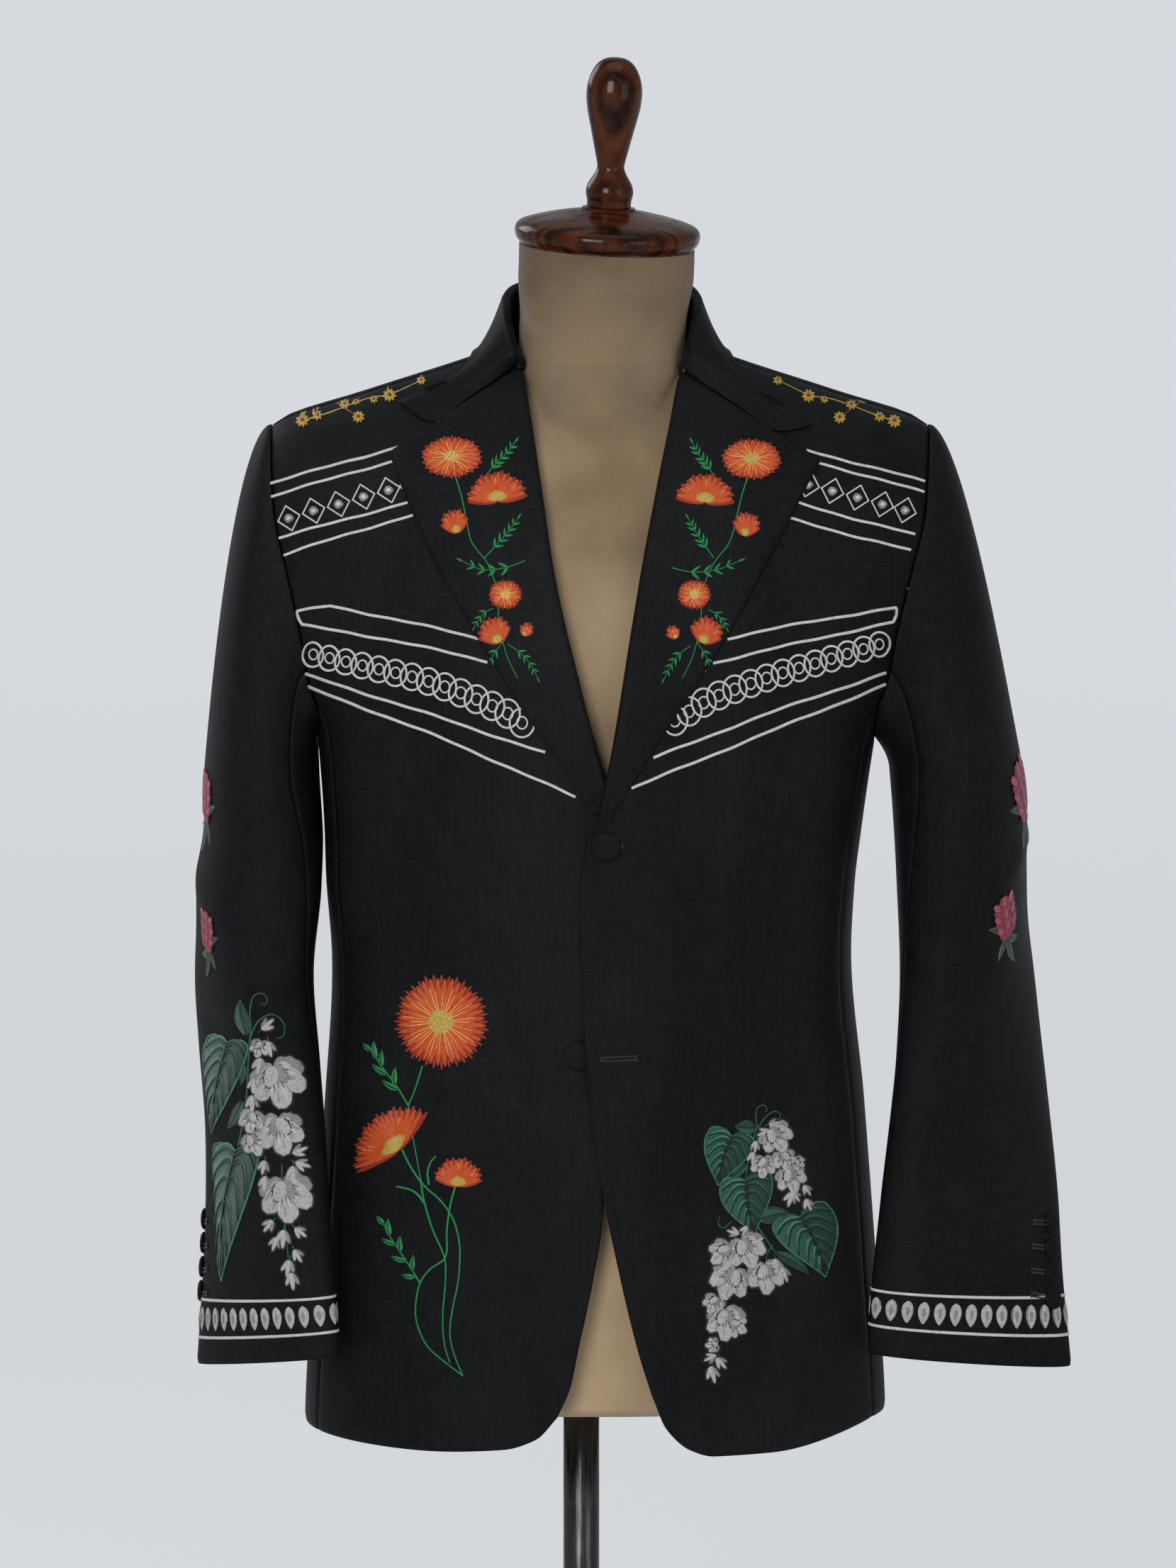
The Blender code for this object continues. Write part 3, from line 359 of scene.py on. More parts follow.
class Socket:
    """A shader value with arithmetic: each operator adds a Math or Vector Math node."""

    def __init__(self, shader: "Shader", output: bpy.types.NodeSocket) -> None:
        """Keeps the socket."""
        self.shader, self.output = shader, output

    def _math(self, kind: str, *values: "Socket | float") -> "Socket":
        """Adds a Math node."""
        return self.shader.node("ShaderNodeMath", dict(enumerate(values)), operation=kind)

    def __add__(self, other: "Socket | float") -> "Socket":
        """Sum."""
        return self._math("ADD", self, other)

    def __sub__(self, other: "Socket | float") -> "Socket":
        """Difference."""
        return self._math("SUBTRACT", self, other)

    def __rsub__(self, other: float) -> "Socket":
        """Difference from a number."""
        return self._math("SUBTRACT", other, self)

    def __mul__(self, other: "Socket | float") -> "Socket":
        """Product."""
        return self._math("MULTIPLY", self, other)

    __radd__ = __add__
    __rmul__ = __mul__

    def sine(self) -> "Socket":
        """Sine."""
        return self._math("SINE", self)

    def eased(self, low: float, high: float, start: float = 0.0, end: float = 1.0) -> "Socket":
        """A smooth step between two values."""
        values = {"Value": self, "From Min": low, "From Max": high, "To Min": start, "To Max": end}
        return self.shader.node("ShaderNodeMapRange", values, interpolation_type="SMOOTHSTEP")


class Shader:
    """A material's node tree round its Principled BSDF."""

    def __init__(self, name: str) -> None:
        """Makes the material.

        Args:
            name: its name.
        """
        self.material = bpy.data.materials.new(name)
        self.material.use_nodes = True
        self.tree = self.material.node_tree
        self.principled = self.tree.nodes["Principled BSDF"]

    def node(self, kind: str, inputs: dict, output: int | str = 0, **settings: str) -> Socket:
        """Adds any node.

        Args:
            kind: the node's type.
            inputs: its inputs by name or number, as sockets or plain values.
            output: which output is read.
            settings: its own properties.

        Returns:
            The output.
        """
        made = self.tree.nodes.new(kind)
        for name, value in settings.items():
            setattr(made, name, value)
        for name, value in inputs.items():
            if isinstance(value, Socket):
                self.tree.links.new(value.output, made.inputs[name])
            else:
                made.inputs[name].default_value = value
        return Socket(self, made.outputs[output])

    def place(self, scale: tuple[float, float, float] = (1, 1, 1)) -> Socket:
        """The object's own coordinates, in metres times a scale."""
        here = self.node("ShaderNodeTexCoord", {}, "Object")
        return self.node("ShaderNodeVectorMath", {0: here, 1: scale}, operation="MULTIPLY")

    def height(self) -> Socket:
        """Height above the floor, in metres."""
        return self.node("ShaderNodeSeparateXYZ", {0: self.place()}, 2)

    def along(self) -> tuple[Socket, Socket]:
        """Distances along the piece's own surface, in metres."""
        here = self.node("ShaderNodeUVMap", {}, uv_map="cloth")
        return tuple(self.node("ShaderNodeSeparateXYZ", {0: here}, k) for k in (0, 1))

    def noise(self, scale: float, detail: float = 3.0, vector: Socket | None = None) -> Socket:
        """Noise between 0 and 1."""
        values = {"Vector": vector or self.place(), "Scale": scale, "Detail": detail}
        return self.node("ShaderNodeTexNoise", values)

    def mix(self, factor: Socket | float, first: tuple | Socket, second: tuple | Socket) -> Socket:
        """A colour between two."""
        first, second = ((*c, 1.0) if isinstance(c, tuple) else c for c in (first, second))
        return self.node("ShaderNodeMix", {0: factor, 6: first, 7: second}, 2, data_type="RGBA")

    def bump(self, height: Socket, strength: float, distance: float) -> Socket:
        """A normal from a height."""
        return self.node("ShaderNodeBump", {"Height": height, "Strength": strength, "Distance": distance})

    def finish(self, **sockets: "Socket | float | tuple") -> bpy.types.Material:
        """Sets the Principled BSDF's inputs.

        Args:
            sockets: sockets or plain values, by the input's name with _ for a space.

        Returns:
            The material.
        """
        for name, value in sockets.items():
            socket = self.principled.inputs[name.replace("_", " ")]
            if isinstance(value, Socket):
                self.tree.links.new(value.output, socket)
            else:
                socket.default_value = (*value, 1.0) if isinstance(value, tuple) else value
        return self.material


class Finish(ABC):
    """A finish, which makes its material once."""

    _made: dict["Finish", bpy.types.Material] = {}

    @abstractmethod
    def paint(self) -> bpy.types.Material:
        """Makes the material."""

    def material(self) -> bpy.types.Material:
        """The finish's material, made at its first use.

        Returns:
            The material.
        """
        if self not in Finish._made:
            Finish._made[self] = self.paint()
        return Finish._made[self]


Finishes = tuple[Finish, Finish]


@dataclass(frozen=True)
class Worsted(Finish):
    """Dark worsted wool: a fine twill with lighter fibres and faint long slubs."""

    name: str = "worsted_wool"
    colour: tuple[float, float, float] = (0.0022, 0.0023, 0.0026)
    lighter: tuple[float, float, float] = (0.0102, 0.0108, 0.0122)
    pitch: float = 0.00055

    def paint(self) -> bpy.types.Material:
        """Makes the material.

        Returns:
            The material.
        """
        shader = Shader(self.name)
        u, v = shader.along()
        twill = ((u + v) * (2 * math.pi / self.pitch)).sine() * 0.5 + 0.5
        slubs = shader.noise(60, 4, shader.place((9.0, 9.0, 0.6)))
        cloudy = shader.noise(14, 4)
        pressed = shader.noise(11, 2, shader.place((1.0, 1.0, 0.16))).eased(0.32, 0.68)
        fibres = shader.noise(1100, 2)
        weft = shader.noise(60, 4, shader.place((0.8, 0.8, 11.0)))
        lit = twill * 0.20 + fibres.eased(0.3, 0.7) * 0.30 + slubs.eased(0.35, 0.7) * 0.30
        lit = lit + weft.eased(0.35, 0.7) * 0.25
        lit = lit * cloudy.eased(0.25, 0.80, 0.6, 1.0) + pressed * 0.24 - 0.06
        height = twill * 0.5 + fibres * 0.6 + slubs * 0.8
        rough = cloudy.eased(0.3, 0.7, 0.56, 0.62) - pressed * 0.06
        return shader.finish(
            Base_Color=shader.mix(lit, self.colour, self.lighter), Roughness=rough,
            Normal=shader.bump(height, 0.5, 0.00016), Specular_IOR_Level=0.055)


@dataclass(frozen=True)
class Lining(Finish):
    """A smooth dark lining with a faint warp."""

    name: str = "lining"
    colour: tuple[float, float, float] = (0.012, 0.012, 0.015)

    def paint(self) -> bpy.types.Material:
        """Makes the material.

        Returns:
            The material.
        """
        shader = Shader(self.name)
        u, _ = shader.along()
        warp = (u * (2 * math.pi / 0.0006)).sine() * 0.5 + shader.noise(400, 3)
        cloudy = shader.noise(25, 3)
        return shader.finish(
            Base_Color=shader.mix(cloudy, self.colour, tuple(1.8 * c for c in self.colour)),
            Roughness=cloudy.eased(0.3, 0.7, 0.34, 0.46), Normal=shader.bump(warp, 0.25, 0.0001))


@dataclass(frozen=True)
class Thread(Finish):
    """Embroidery thread: lustrous strands side by side, a little uneven in colour."""

    name: str
    colour: tuple[float, float, float]
    deeper: tuple[float, float, float]
    pitch: float = 0.00042
    rough: float = 0.36

    def paint(self) -> bpy.types.Material:
        """Makes the material.

        Returns:
            The material.
        """
        shader = Shader(self.name)
        u, v = shader.along()
        wander = shader.noise(900, 2) * 1.6
        strands = (u * (2 * math.pi / self.pitch) + wander).sine() * 0.5 + 0.5
        uneven = shader.noise(420, 3)
        fleck = shader.noise(1500, 2)
        share = (1.0 - strands) * 0.42 + uneven.eased(0.35, 0.75) * 0.38 + fleck.eased(0.5, 0.8) * 0.2
        height = strands + fleck * 0.5
        return shader.finish(
            Base_Color=shader.mix(share, self.colour, self.deeper),
            Roughness=uneven.eased(0.3, 0.7, self.rough - 0.06, self.rough + 0.12),
            Normal=shader.bump(height, 0.75, 0.00022), Specular_IOR_Level=0.28, Sheen_Weight=0.05)


@dataclass(frozen=True)
class Cover(Finish):
    """The form's plain cotton cover: an even weave, a little soiled."""

    name: str = "form_cotton"
    colour: tuple[float, float, float] = (0.50, 0.36, 0.215)
    deeper: tuple[float, float, float] = (0.060, 0.032, 0.010)

    def paint(self) -> bpy.types.Material:
        """Makes the material.

        Returns:
            The material.
        """
        shader = Shader(self.name)
        u, v = shader.along()
        pitch = 2 * math.pi / 0.0009
        weave = ((u * pitch).sine() * (v * pitch).sine()) * 0.5 + 0.5
        soiled = shader.noise(9, 5)
        grain = shader.noise(1300, 3)
        handled = shader.height().eased(0.80, 1.40) * 0.35 + shader.height().eased(1.36, 1.50) * 0.30
        share = weave * 0.20 + soiled.eased(0.3, 0.75) * 0.30 + grain * 0.15 + handled
        return shader.finish(
            Base_Color=shader.mix(share, self.colour, self.deeper),
            Roughness=soiled.eased(0.3, 0.7, 0.80, 0.92),
            Normal=shader.bump(weave + grain * 0.7, 0.5, 0.00018), Sheen_Weight=0.1)


@dataclass(frozen=True)
class Varnished(Finish):
    """Red-brown turned wood under gloss varnish, its grain running across the turning."""

    name: str = "varnished_wood"
    dark: tuple[float, float, float] = (0.005, 0.0010, 0.0004)
    light: tuple[float, float, float] = (0.082, 0.0200, 0.0045)

    def paint(self) -> bpy.types.Material:
        """Makes the material.

        Returns:
            The material.
        """
        shader = Shader(self.name)
        grain = shader.noise(34, 6, shader.place((1.0, 5.0, 0.7)))
        pores = shader.noise(300, 3, shader.place((0.4, 3.0, 3.0)))
        scuffs = shader.noise(70, 5)
        share = grain.eased(0.36, 0.70) * 0.8 + pores.eased(0.45, 0.75) * 0.2
        return shader.finish(
            Base_Color=shader.mix(share, self.dark, self.light),
            Roughness=scuffs.eased(0.45, 0.75, 0.20, 0.42), Normal=shader.bump(pores, 0.15, 0.0002),
            Coat_Weight=scuffs.eased(0.3, 0.7, 0.24, 0.10), Coat_Roughness=0.06, Specular_IOR_Level=0.05)


@dataclass(frozen=True)
class Enamel(Finish):
    """Black enamelled steel with fine scratches and rubbed spots."""

    name: str = "black_enamel"
    colour: tuple[float, float, float] = (0.006, 0.006, 0.007)
    rubbed: tuple[float, float, float] = (0.055, 0.052, 0.050)

    def paint(self) -> bpy.types.Material:
        """Makes the material.

        Returns:
            The material.
        """
        shader = Shader(self.name)
        scratches = shader.noise(90, 5, shader.place((6.0, 6.0, 0.35)))
        spots = shader.noise(55, 5)
        worn = spots.eased(0.60, 0.78)
        return shader.finish(
            Base_Color=shader.mix(worn, self.colour, self.rubbed),
            Metallic=worn.eased(0.0, 1.0, 0.0, 0.7),
            Roughness=scratches.eased(0.35, 0.7, 0.16, 0.42) + worn * 0.15,
            Normal=shader.bump(scratches + spots * 0.5, 0.12, 0.0003))


@dataclass(frozen=True)
class Studio(Finish):
    """A plain painted floor that glows faintly and is a little darker where the lights are near."""

    name: str = "studio_paint"
    near: float = 0.250
    far: float = 0.50
    glow: tuple[float, float, float] = (0.468, 0.485, 0.509)

    def paint(self) -> bpy.types.Material:
        """Makes the material.

        Returns:
            The material.
        """
        shader = Shader(self.name)
        reach = shader.node("ShaderNodeVectorMath", {0: shader.place()}, "Value", operation="LENGTH")
        share = reach.eased(1.5, 9.5) + shader.noise(1.2, 2) * 0.02
        return shader.finish(Base_Color=shader.mix(share, (self.near,) * 3, (self.far,) * 3), Roughness=0.9,
                             Emission_Color=self.glow, Emission_Strength=1.0)


class Skin:
    """The jacket's outer skin: rounded oval sections up the body."""

    def __init__(self, sections: Table) -> None:
        """Keeps the sections."""
        self.sections = sections

    def at(self, out: Array, height: Array, side: int, back: bool = False) -> Array:
        """Points from the distance out: depth times the oval's share left at that distance.

        Args:
            out: distance from the jacket's centre line.
            height: height above the floor.
            side: 1 for the wearer's left, -1 for the right.
            back: whether the points are on the back.

        Returns:
            Points, with their three coordinates on the last axis.
        """
        out, height = np.broadcast_arrays(np.asarray(out, float), np.asarray(height, float))
        half = self.sections.read("height", "half", height)
        depth = self.sections.read("height", "back" if back else "front", height)
        left = np.clip(1 - np.abs(out / half) ** ROUNDNESS, 0, 1) ** (1 / ROUNDNESS)
        x = self.sections.read("height", "centre", height) + side * out
        return np.stack([x, (depth if back else -depth) * left, height], axis=-1)

    def level(self, points: Array) -> Array:
        """The oval's own measure: 1 on the skin and more outside it.

        Args:
            points: points in space.

        Returns:
            One value for each point.
        """
        x, y, height = np.moveaxis(points, -1, 0)
        read = self.sections.read
        half = read("height", "half", height)
        depth = np.where(y > 0, read("height", "back", height), read("height", "front", height))
        x = x - read("height", "centre", height)
        return (np.abs(x / half) ** ROUNDNESS + np.abs(y / depth) ** ROUNDNESS) ** (1 / ROUNDNESS)

    def outward(self, points: Array) -> Array:
        """Unit slopes of the level.

        Args:
            points: points near the skin.

        Returns:
            Directions straight out of the skin.
        """
        steps = [self.level(points + STEP * axis) - self.level(points - STEP * axis) for axis in np.eye(3)]
        return unit(np.stack(steps, axis=-1))

    def moved(self, points: Array, distance: Array) -> Array:
        """Points moved straight out."""
        return points + self.outward(points) * np.asarray(distance)[..., None]

    def clear(self, points: Array, least: float) -> Array:
        """Points moved out where they lie too near the skin.

        Args:
            points: points near the skin.
            least: the least height above it.

        Returns:
            The points, each at least that far out below the skin's top.
        """
        way = self.outward(points)
        rise = (self.level(points + way * STEP) - self.level(points - way * STEP)) / (2 * STEP)
        lack = np.maximum(least - (self.level(points) - 1) / rise, 0)
        lack = np.where(points[..., 2] > self.sections.last("height"), 0, lack)
        return points + way * lack[..., None]


SKIN = Skin(JACKET)


@dataclass(frozen=True)
class Crease:
    """A soft fold of the cloth: a ridge along a line, or a trough where its depth is negative.

    On the body the line's ends are distances out and heights, and on a sleeve turns and heights.
    """

    start: tuple[float, float]
    end: tuple[float, float]
    width: float
    depth: float
    across: float = 1.0

    def swell(self, a: Array, b: Array) -> Array:
        """Height of the fold: a bell across its line that thins towards both ends.

        Args:
            a: distance out, or turn.
            b: height.

        Returns:
            How far the cloth stands out.
        """
        run = np.array([(self.end[0] - self.start[0]) * self.across, self.end[1] - self.start[1]])
        a, b = np.broadcast_arrays(a, b)
        away = np.stack([(a - self.start[0]) * self.across, b - self.start[1]], axis=-1)
        share = np.clip(away @ run / (run @ run), 0, 1)
        off = np.linalg.norm(away - share[..., None] * run, axis=-1)
        bell = np.exp(-((off / self.width) ** 2))
        return self.depth * bell * (0.25 + 0.75 * np.sin(math.pi * np.clip(share, 0.02, 0.98)))


def left_lift(out: Array, height: Array) -> Array:
    """How far the left forepart lies above the skin where it laps over the right one.

    Args:
        out: distance from the centre line.
        height: height above the floor.

    Returns:
        The lap's height, with the lapel's layers and the covered button under it.
    """
    above = 1 - eased(1.20, 1.26, height)
    lap = LAP * (1 - eased(0.030, 0.080, out)) * above
    layers = eased(1.105, 1.135, height) * above
    over_lapel = 0.0044 * layers * (1 - eased(0.022, 0.070, out))
    reach = ((out + LOWER_BUTTON[0]) ** 2 + (height - LOWER_BUTTON[1]) ** 2) / 0.022**2
    over_button = 0.0048 * np.exp(-(reach**1.5))
    return lap * (0.6 + 0.4 * eased(0.80, 0.86, height)) + over_lapel + over_button


class Surface(ABC):
    """The outer face of a piece of cloth, as points of two parameters."""

    low: tuple[float, float]
    high: tuple[float, float]

    @abstractmethod
    def points(self, a: Array, b: Array) -> Array:
        """Points of the face."""

    @abstractmethod
    def within(self, points: Array) -> Array:
        """Points that lie inside the cloth's tube, by which its outside is told."""

    def normals(self, a: Array, b: Array) -> Array:
        """Unit directions out of the cloth: the cross product of its two small steps.

        Args:
            a: the first parameter.
            b: the second parameter.

        Returns:
            One direction for each point.
        """
        step_a, step_b = (0.002 * (h - l) for l, h in zip(self.low, self.high))
        along = self.points(a + step_a, b) - self.points(a - step_a, b)
        across = self.points(a, b + step_b) - self.points(a, b - step_b)
        normal = unit(np.cross(along, across))
        here = self.points(a, b)
        facing = np.sign((normal * (here - self.within(here))).sum(-1, keepdims=True))
        return normal * np.where(facing == 0, 1, facing)

    def seen_from_front(self, x: Array, v: Array) -> tuple[Array, Array]:
        """Parameters of the points that the front view shows at these places.

        The nearest of a coarse grid's points starts each search, and steps along the slopes there end it.

        Args:
            x: distance to the right in the front view.
            v: distance up in the front view.

        Returns:
            Both parameters.
        """
        grid_a, grid_b = np.meshgrid(*(np.linspace(l, h, 48) for l, h in zip(self.low, self.high)))
        faces_us = self.normals(grid_a, grid_b) @ [0, -math.cos(ELEVATION), math.sin(ELEVATION)] > 0.02
        grid_a, grid_b = grid_a[faces_us], grid_b[faces_us]
        seen = in_view(self.points(grid_a, grid_b))
        target = np.stack([x, v], axis=-1)
        parts = np.array_split(target, 1 + len(target) // 2000)
        near = np.concatenate([((part[:, None] - seen) ** 2).sum(-1).argmin(1) for part in parts])
        place = np.stack([grid_a[near], grid_b[near]], axis=-1)
        step = 0.001 * (np.array(self.high) - np.array(self.low))
        for _ in range(8):
            here = in_view(self.points(*place.T))
            slope_a = (in_view(self.points(*(place + step * [1, 0]).T)) - here) / step[0]
            slope_b = (in_view(self.points(*(place + step * [0, 1]).T)) - here) / step[1]
            off = target - here
            det = slope_a[:, 0] * slope_b[:, 1] - slope_a[:, 1] * slope_b[:, 0]
            det = np.where(np.abs(det) < 1e-9, 1e-9, det)
            move = np.stack([
                (off[:, 0] * slope_b[:, 1] - off[:, 1] * slope_b[:, 0]) / det,
                (slope_a[:, 0] * off[:, 1] - slope_a[:, 1] * off[:, 0]) / det,
            ], axis=-1)
            most = 0.06 * (np.array(self.high) - np.array(self.low))
            place = np.clip(place + np.clip(move, -most, most), self.low, self.high)
        return place[:, 0], place[:, 1]


def in_view(points: Array) -> Array:
    """Places of points in the front view's picture plane."""
    up = points[..., 2] * math.cos(ELEVATION) + points[..., 1] * math.sin(ELEVATION)
    return np.stack([points[..., 0], up], axis=-1)


class BodySurface(Surface):
    """Cloth on the jacket's skin: its parameters are the distance out and the height."""

    def __init__(self, side: Side, back: bool = False, creases: tuple[Crease, ...] = ()) -> None:
        """Keeps which part of the skin it is."""
        self.side, self.back, self.creases = side, back, creases
        self.low, self.high = (-0.03, 0.700), (0.24, NECK_POINT)

    def lift(self, out: Array, height: Array) -> Array:
        """Height of the cloth above the skin: the lap, the layers and the creases."""
        lap = left_lift(out, height) if self.side is Side.LEFT and not self.back else 0.0
        return lap + sum(crease.swell(out, height) for crease in self.creases)

    def points(self, a: Array, b: Array) -> Array:
        """Points of the cloth's face.

        Args:
            a: distance out.
            b: height.

        Returns:
            Points on the creased skin.
        """
        a, b = np.broadcast_arrays(a, b)
        most = SKIN.sections.read("height", "half", b) * 0.9995
        a = np.minimum(a, most)
        return SKIN.moved(SKIN.at(a, b, self.side.value, self.back), self.lift(a, b))

    def within(self, points: Array) -> Array:
        """Points on the body's middle line, a little lower."""
        middle = points * [0.3, 0.0, 1.0]
        return middle - [0.0, 0.0, 0.05]


class LapelSurface(Surface):
    """A lapel's face: its parameters are the share across from the roll and the place up it."""

    def __init__(self, side: Side, rows: Table, roll: Table) -> None:
        """Keeps the lapel's tables.

        Args:
            side: the wearer's side.
            rows: the roll line's heights with the edge's distances and heights.
            roll: the roll line.
        """
        self.side, self.roll = side, roll
        places = np.linspace(0, 1, len(rows.rows))[:, None]
        self.rows = Table("place " + " ".join(rows.columns), np.hstack([places, rows.rows]))
        self.low, self.high = (0.0, 0.0), (1.0, 1.0)

    def points(self, a: Array, b: Array) -> Array:
        """Points from the roll line at share 0 to the lapel's edge at share 1.

        Args:
            a: share across.
            b: place up the lapel.

        Returns:
            Points of the lapel's face, a little proud in its middle.
        """
        a, b = np.broadcast_arrays(a, b)
        share = np.clip(a, -0.1, 1.1)
        start_height = self.rows.read("place", "roll_height", b)
        start = self.roll.read("height", "out", start_height)
        end = self.rows.read("place", "edge_out", b)
        end_height = self.rows.read("place", "edge_height", b)
        width = np.hypot(end - start, end_height - start_height)
        out = start + (end - start) * share
        height = start_height + (end_height - start_height) * share
        fold = LAPEL_EDGE + (LAPEL_FOLD - LAPEL_EDGE) * np.clip(1 - share, 0, 1.1) ** 1.5
        lift = fold + 0.0012 * np.sin(math.pi * share) * np.clip(width / 0.1, 0, 1)
        if self.side is Side.LEFT:
            lift = lift + left_lift(out, height)
        return SKIN.moved(SKIN.at(out, height, self.side.value), lift)

    def within(self, points: Array) -> Array:
        """Points on the body's middle plane."""
        return points * [0.3, 0.0, 1.0]


class SleeveSurface(Surface):
    """A sleeve below its cap: its parameters are the turn round the arm and the height."""

    def __init__(self, side: Side, rows: Table, creases: tuple[Crease, ...] = (),
                 slant: tuple[float, float] = (0.0, 0.0)) -> None:
        """Keeps the sleeve's rings."""
        self.side, self.rows, self.creases, self.slant = side, rows, creases, slant
        self.low, self.high = (-90.0, CUFF), (200.0, CAP_FOOT)

    def points(self, a: Array, b: Array) -> Array:
        """Points of the ring's oval, whose long axis is turned by the ring's own angle.

        Args:
            a: turn round the arm in degrees, where 0 is outward and 90 the front.
            b: height.

        Returns:
            Points of the sleeve's face.
        """
        turn, height = np.broadcast_arrays(a, b)
        raised = self.slant[0] + (self.slant[1] - self.slant[0]) * (1 + np.sin(np.radians(turn))) / 2
        height = height + raised * (1 - eased(CUFF, SLANT_TOP, height))
        read = self.rows.read
        out, y, long, short, axis = (read("height", name, height) for name in self.rows.columns[1:])
        angle, around = np.radians(axis), np.radians(turn)
        sign = self.side.value
        swell = solid_folds(height, turn)
        wrapped = (turn + 90) % 360 - 90
        swell = swell + sum(crease.swell(wrapped, height) for crease in self.creases)
        long_size, short_size = (long + swell) * np.sin(around), (short + swell) * np.cos(around)
        x = sign * out - long_size * np.cos(angle) * sign + short_size * np.sin(angle) * sign
        return np.stack([x, y - long_size * np.sin(angle) - short_size * np.cos(angle), height], axis=-1)

    def within(self, points: Array) -> Array:
        """Points on the arm's middle line.

        Args:
            points: points of the face.

        Returns:
            One inner point for each.
        """
        height = points[..., 2]
        out, y = (self.rows.read("height", name, height) for name in ("out", "y"))
        return np.stack([self.side.value * out, y, height], axis=-1)


def solid_folds(height: Array, turn: Array) -> Array:
    """How far the folds of the sleeve's solid stand out: a bell along the arm and round it.

    Args:
        height: height above the floor.
        turn: turn round the arm in degrees.

    Returns:
        The sum of the folds.
    """
    swell = 0.0
    for centre, middle, length, width, depth in SLEEVE_FOLDS.rows:
        away = (turn - middle + 180) % 360 - 180
        swell = swell + depth * np.exp(-(((height - centre) / length) ** 2) - (away / width) ** 2)
    return swell


FRONT_CREASES = (
    Crease((0.150, 1.090), (0.060, 1.020), 0.030, 0.0010),
    Crease((0.120, 0.980), (0.150, 0.750), 0.026, 0.0026),
    Crease((0.070, 1.060), (0.085, 0.740), 0.024, -0.0018),
    Crease((0.190, 1.300), (0.110, 1.130), 0.022, 0.0009),
)
BACK_CREASES = (
    Crease((0.120, 1.000), (0.140, 0.740), 0.026, 0.0022),
    Crease((0.060, 1.030), (0.030, 0.960), 0.022, 0.0013),
    Crease((0.165, 1.300), (0.060, 1.180), 0.026, 0.0016),
)
LEFT_SLEEVE_CREASES = (
    Crease((-20, 1.120), (60, 1.070), 0.012, 0.0016, 0.0012),
    Crease((40, 1.010), (110, 1.040), 0.011, 0.0016, 0.0012),
    Crease((10, 1.000), (60, 0.960), 0.013, -0.0016, 0.0012),
)
RIGHT_SLEEVE_CREASES = (
    Crease((-30, 1.090), (70, 1.050), 0.012, 0.0016, 0.0012),
    Crease((30, 1.000), (100, 1.030), 0.011, 0.0018, 0.0012),
    Crease((0, 0.985), (70, 0.930), 0.014, -0.0014, 0.0012),
)


def turns_of(grid: Array) -> Array:
    """Unit normals of a grid: the cross product of its row and column steps."""
    return unit(np.cross(np.gradient(grid, axis=1), np.gradient(grid, axis=0)))


def run_along(grid: Array, axis: int) -> Array:
    """Distance along a line, or along a grid's rows or columns, from its first point.

    Args:
        grid: points in a line, or by row and column.
        axis: 0 along the line or up the columns, and 1 along the rows.

    Returns:
        The sums of the steps so far.
    """
    steps = np.linalg.norm(np.diff(grid, axis=axis), axis=-1)
    return np.pad(np.cumsum(steps, axis=axis), [(int(k == axis), 0) for k in range(steps.ndim)])


def smooth_rows(control: Array, between: int) -> Array:
    """More rows along a grid, on a smooth curve through the given ones.

    Args:
        control: the given rows.
        between: how many new steps replace each old one.

    Returns:
        The finer grid: a cubic between each two rows, whose slopes come from their neighbours.
    """
    last = len(control) - 1
    at = np.linspace(0, last, last * between + 1)
    k = np.minimum(at.astype(int), last - 1)
    t = (at - k).reshape((-1,) + (1,) * (control.ndim - 1))
    before, start, end = control[np.maximum(k - 1, 0)], control[k], control[k + 1]
    after = control[np.minimum(k + 2, last)]
    cubic = 3 * (start - end) + after - before
    square = 2 * before - 5 * start + 4 * end - after
    return start + 0.5 * t * ((end - before) + t * (square + t * cubic))


def new_mesh(name: str, points: Array, quads: Array, uv: Array | None = None) -> bpy.types.Object:
    """A smooth mesh object of quads.

    Args:
        name: the object's name.
        points: the vertices.
        quads: four vertex numbers for each face.
        uv: two numbers for each vertex, in metres along the cloth.

    Returns:
        The object, linked to the scene.
    """
    mesh = bpy.data.meshes.new(name)
    mesh.vertices.add(len(points))
    mesh.vertices.foreach_set("co", np.asarray(points, np.float32).ravel())
    mesh.loops.add(quads.size)
    mesh.loops.foreach_set("vertex_index", quads.astype(np.int32).ravel())
    mesh.polygons.add(len(quads))
    mesh.polygons.foreach_set("loop_start", np.arange(0, quads.size, 4, dtype=np.int32))
    mesh.polygons.foreach_set("use_smooth", np.ones(len(quads), bool))
    if uv is not None:
        layer = mesh.uv_layers.new(name="cloth")
        layer.data.foreach_set("uv", np.asarray(uv, np.float32)[quads.ravel()].ravel())
    mesh.update(calc_edges=True)
    mesh.validate()
    made = bpy.data.objects.new(name, mesh)
    bpy.context.scene.collection.objects.link(made)
    LOG.info("%s: %d faces", name, len(quads))
    return made


def quads_of(rows: int, columns: int, closed: bool = False) -> Array:
    """Faces of a grid of points.

    Args:
        rows: number of rows.
        columns: number of columns.
        closed: whether the last column joins the first one.

    Returns:
        Four vertex numbers for each face.
    """
    index = np.arange(rows * columns).reshape(rows, columns)
    if closed:
        index = np.concatenate([index, index[:, :1]], axis=1)
    return np.stack([index[:-1, :-1], index[:-1, 1:], index[1:, 1:], index[1:, :-1]], -1).reshape(-1, 4)


class Edge(Enum):
    """How a cloth's edge is finished: its dip, and how wide the dip is, in metres."""

    SEAM = (0.0005, 0.0016)
    FOLDED = (0.0007, 0.0012)
    BURIED = (0.0, 0.001)


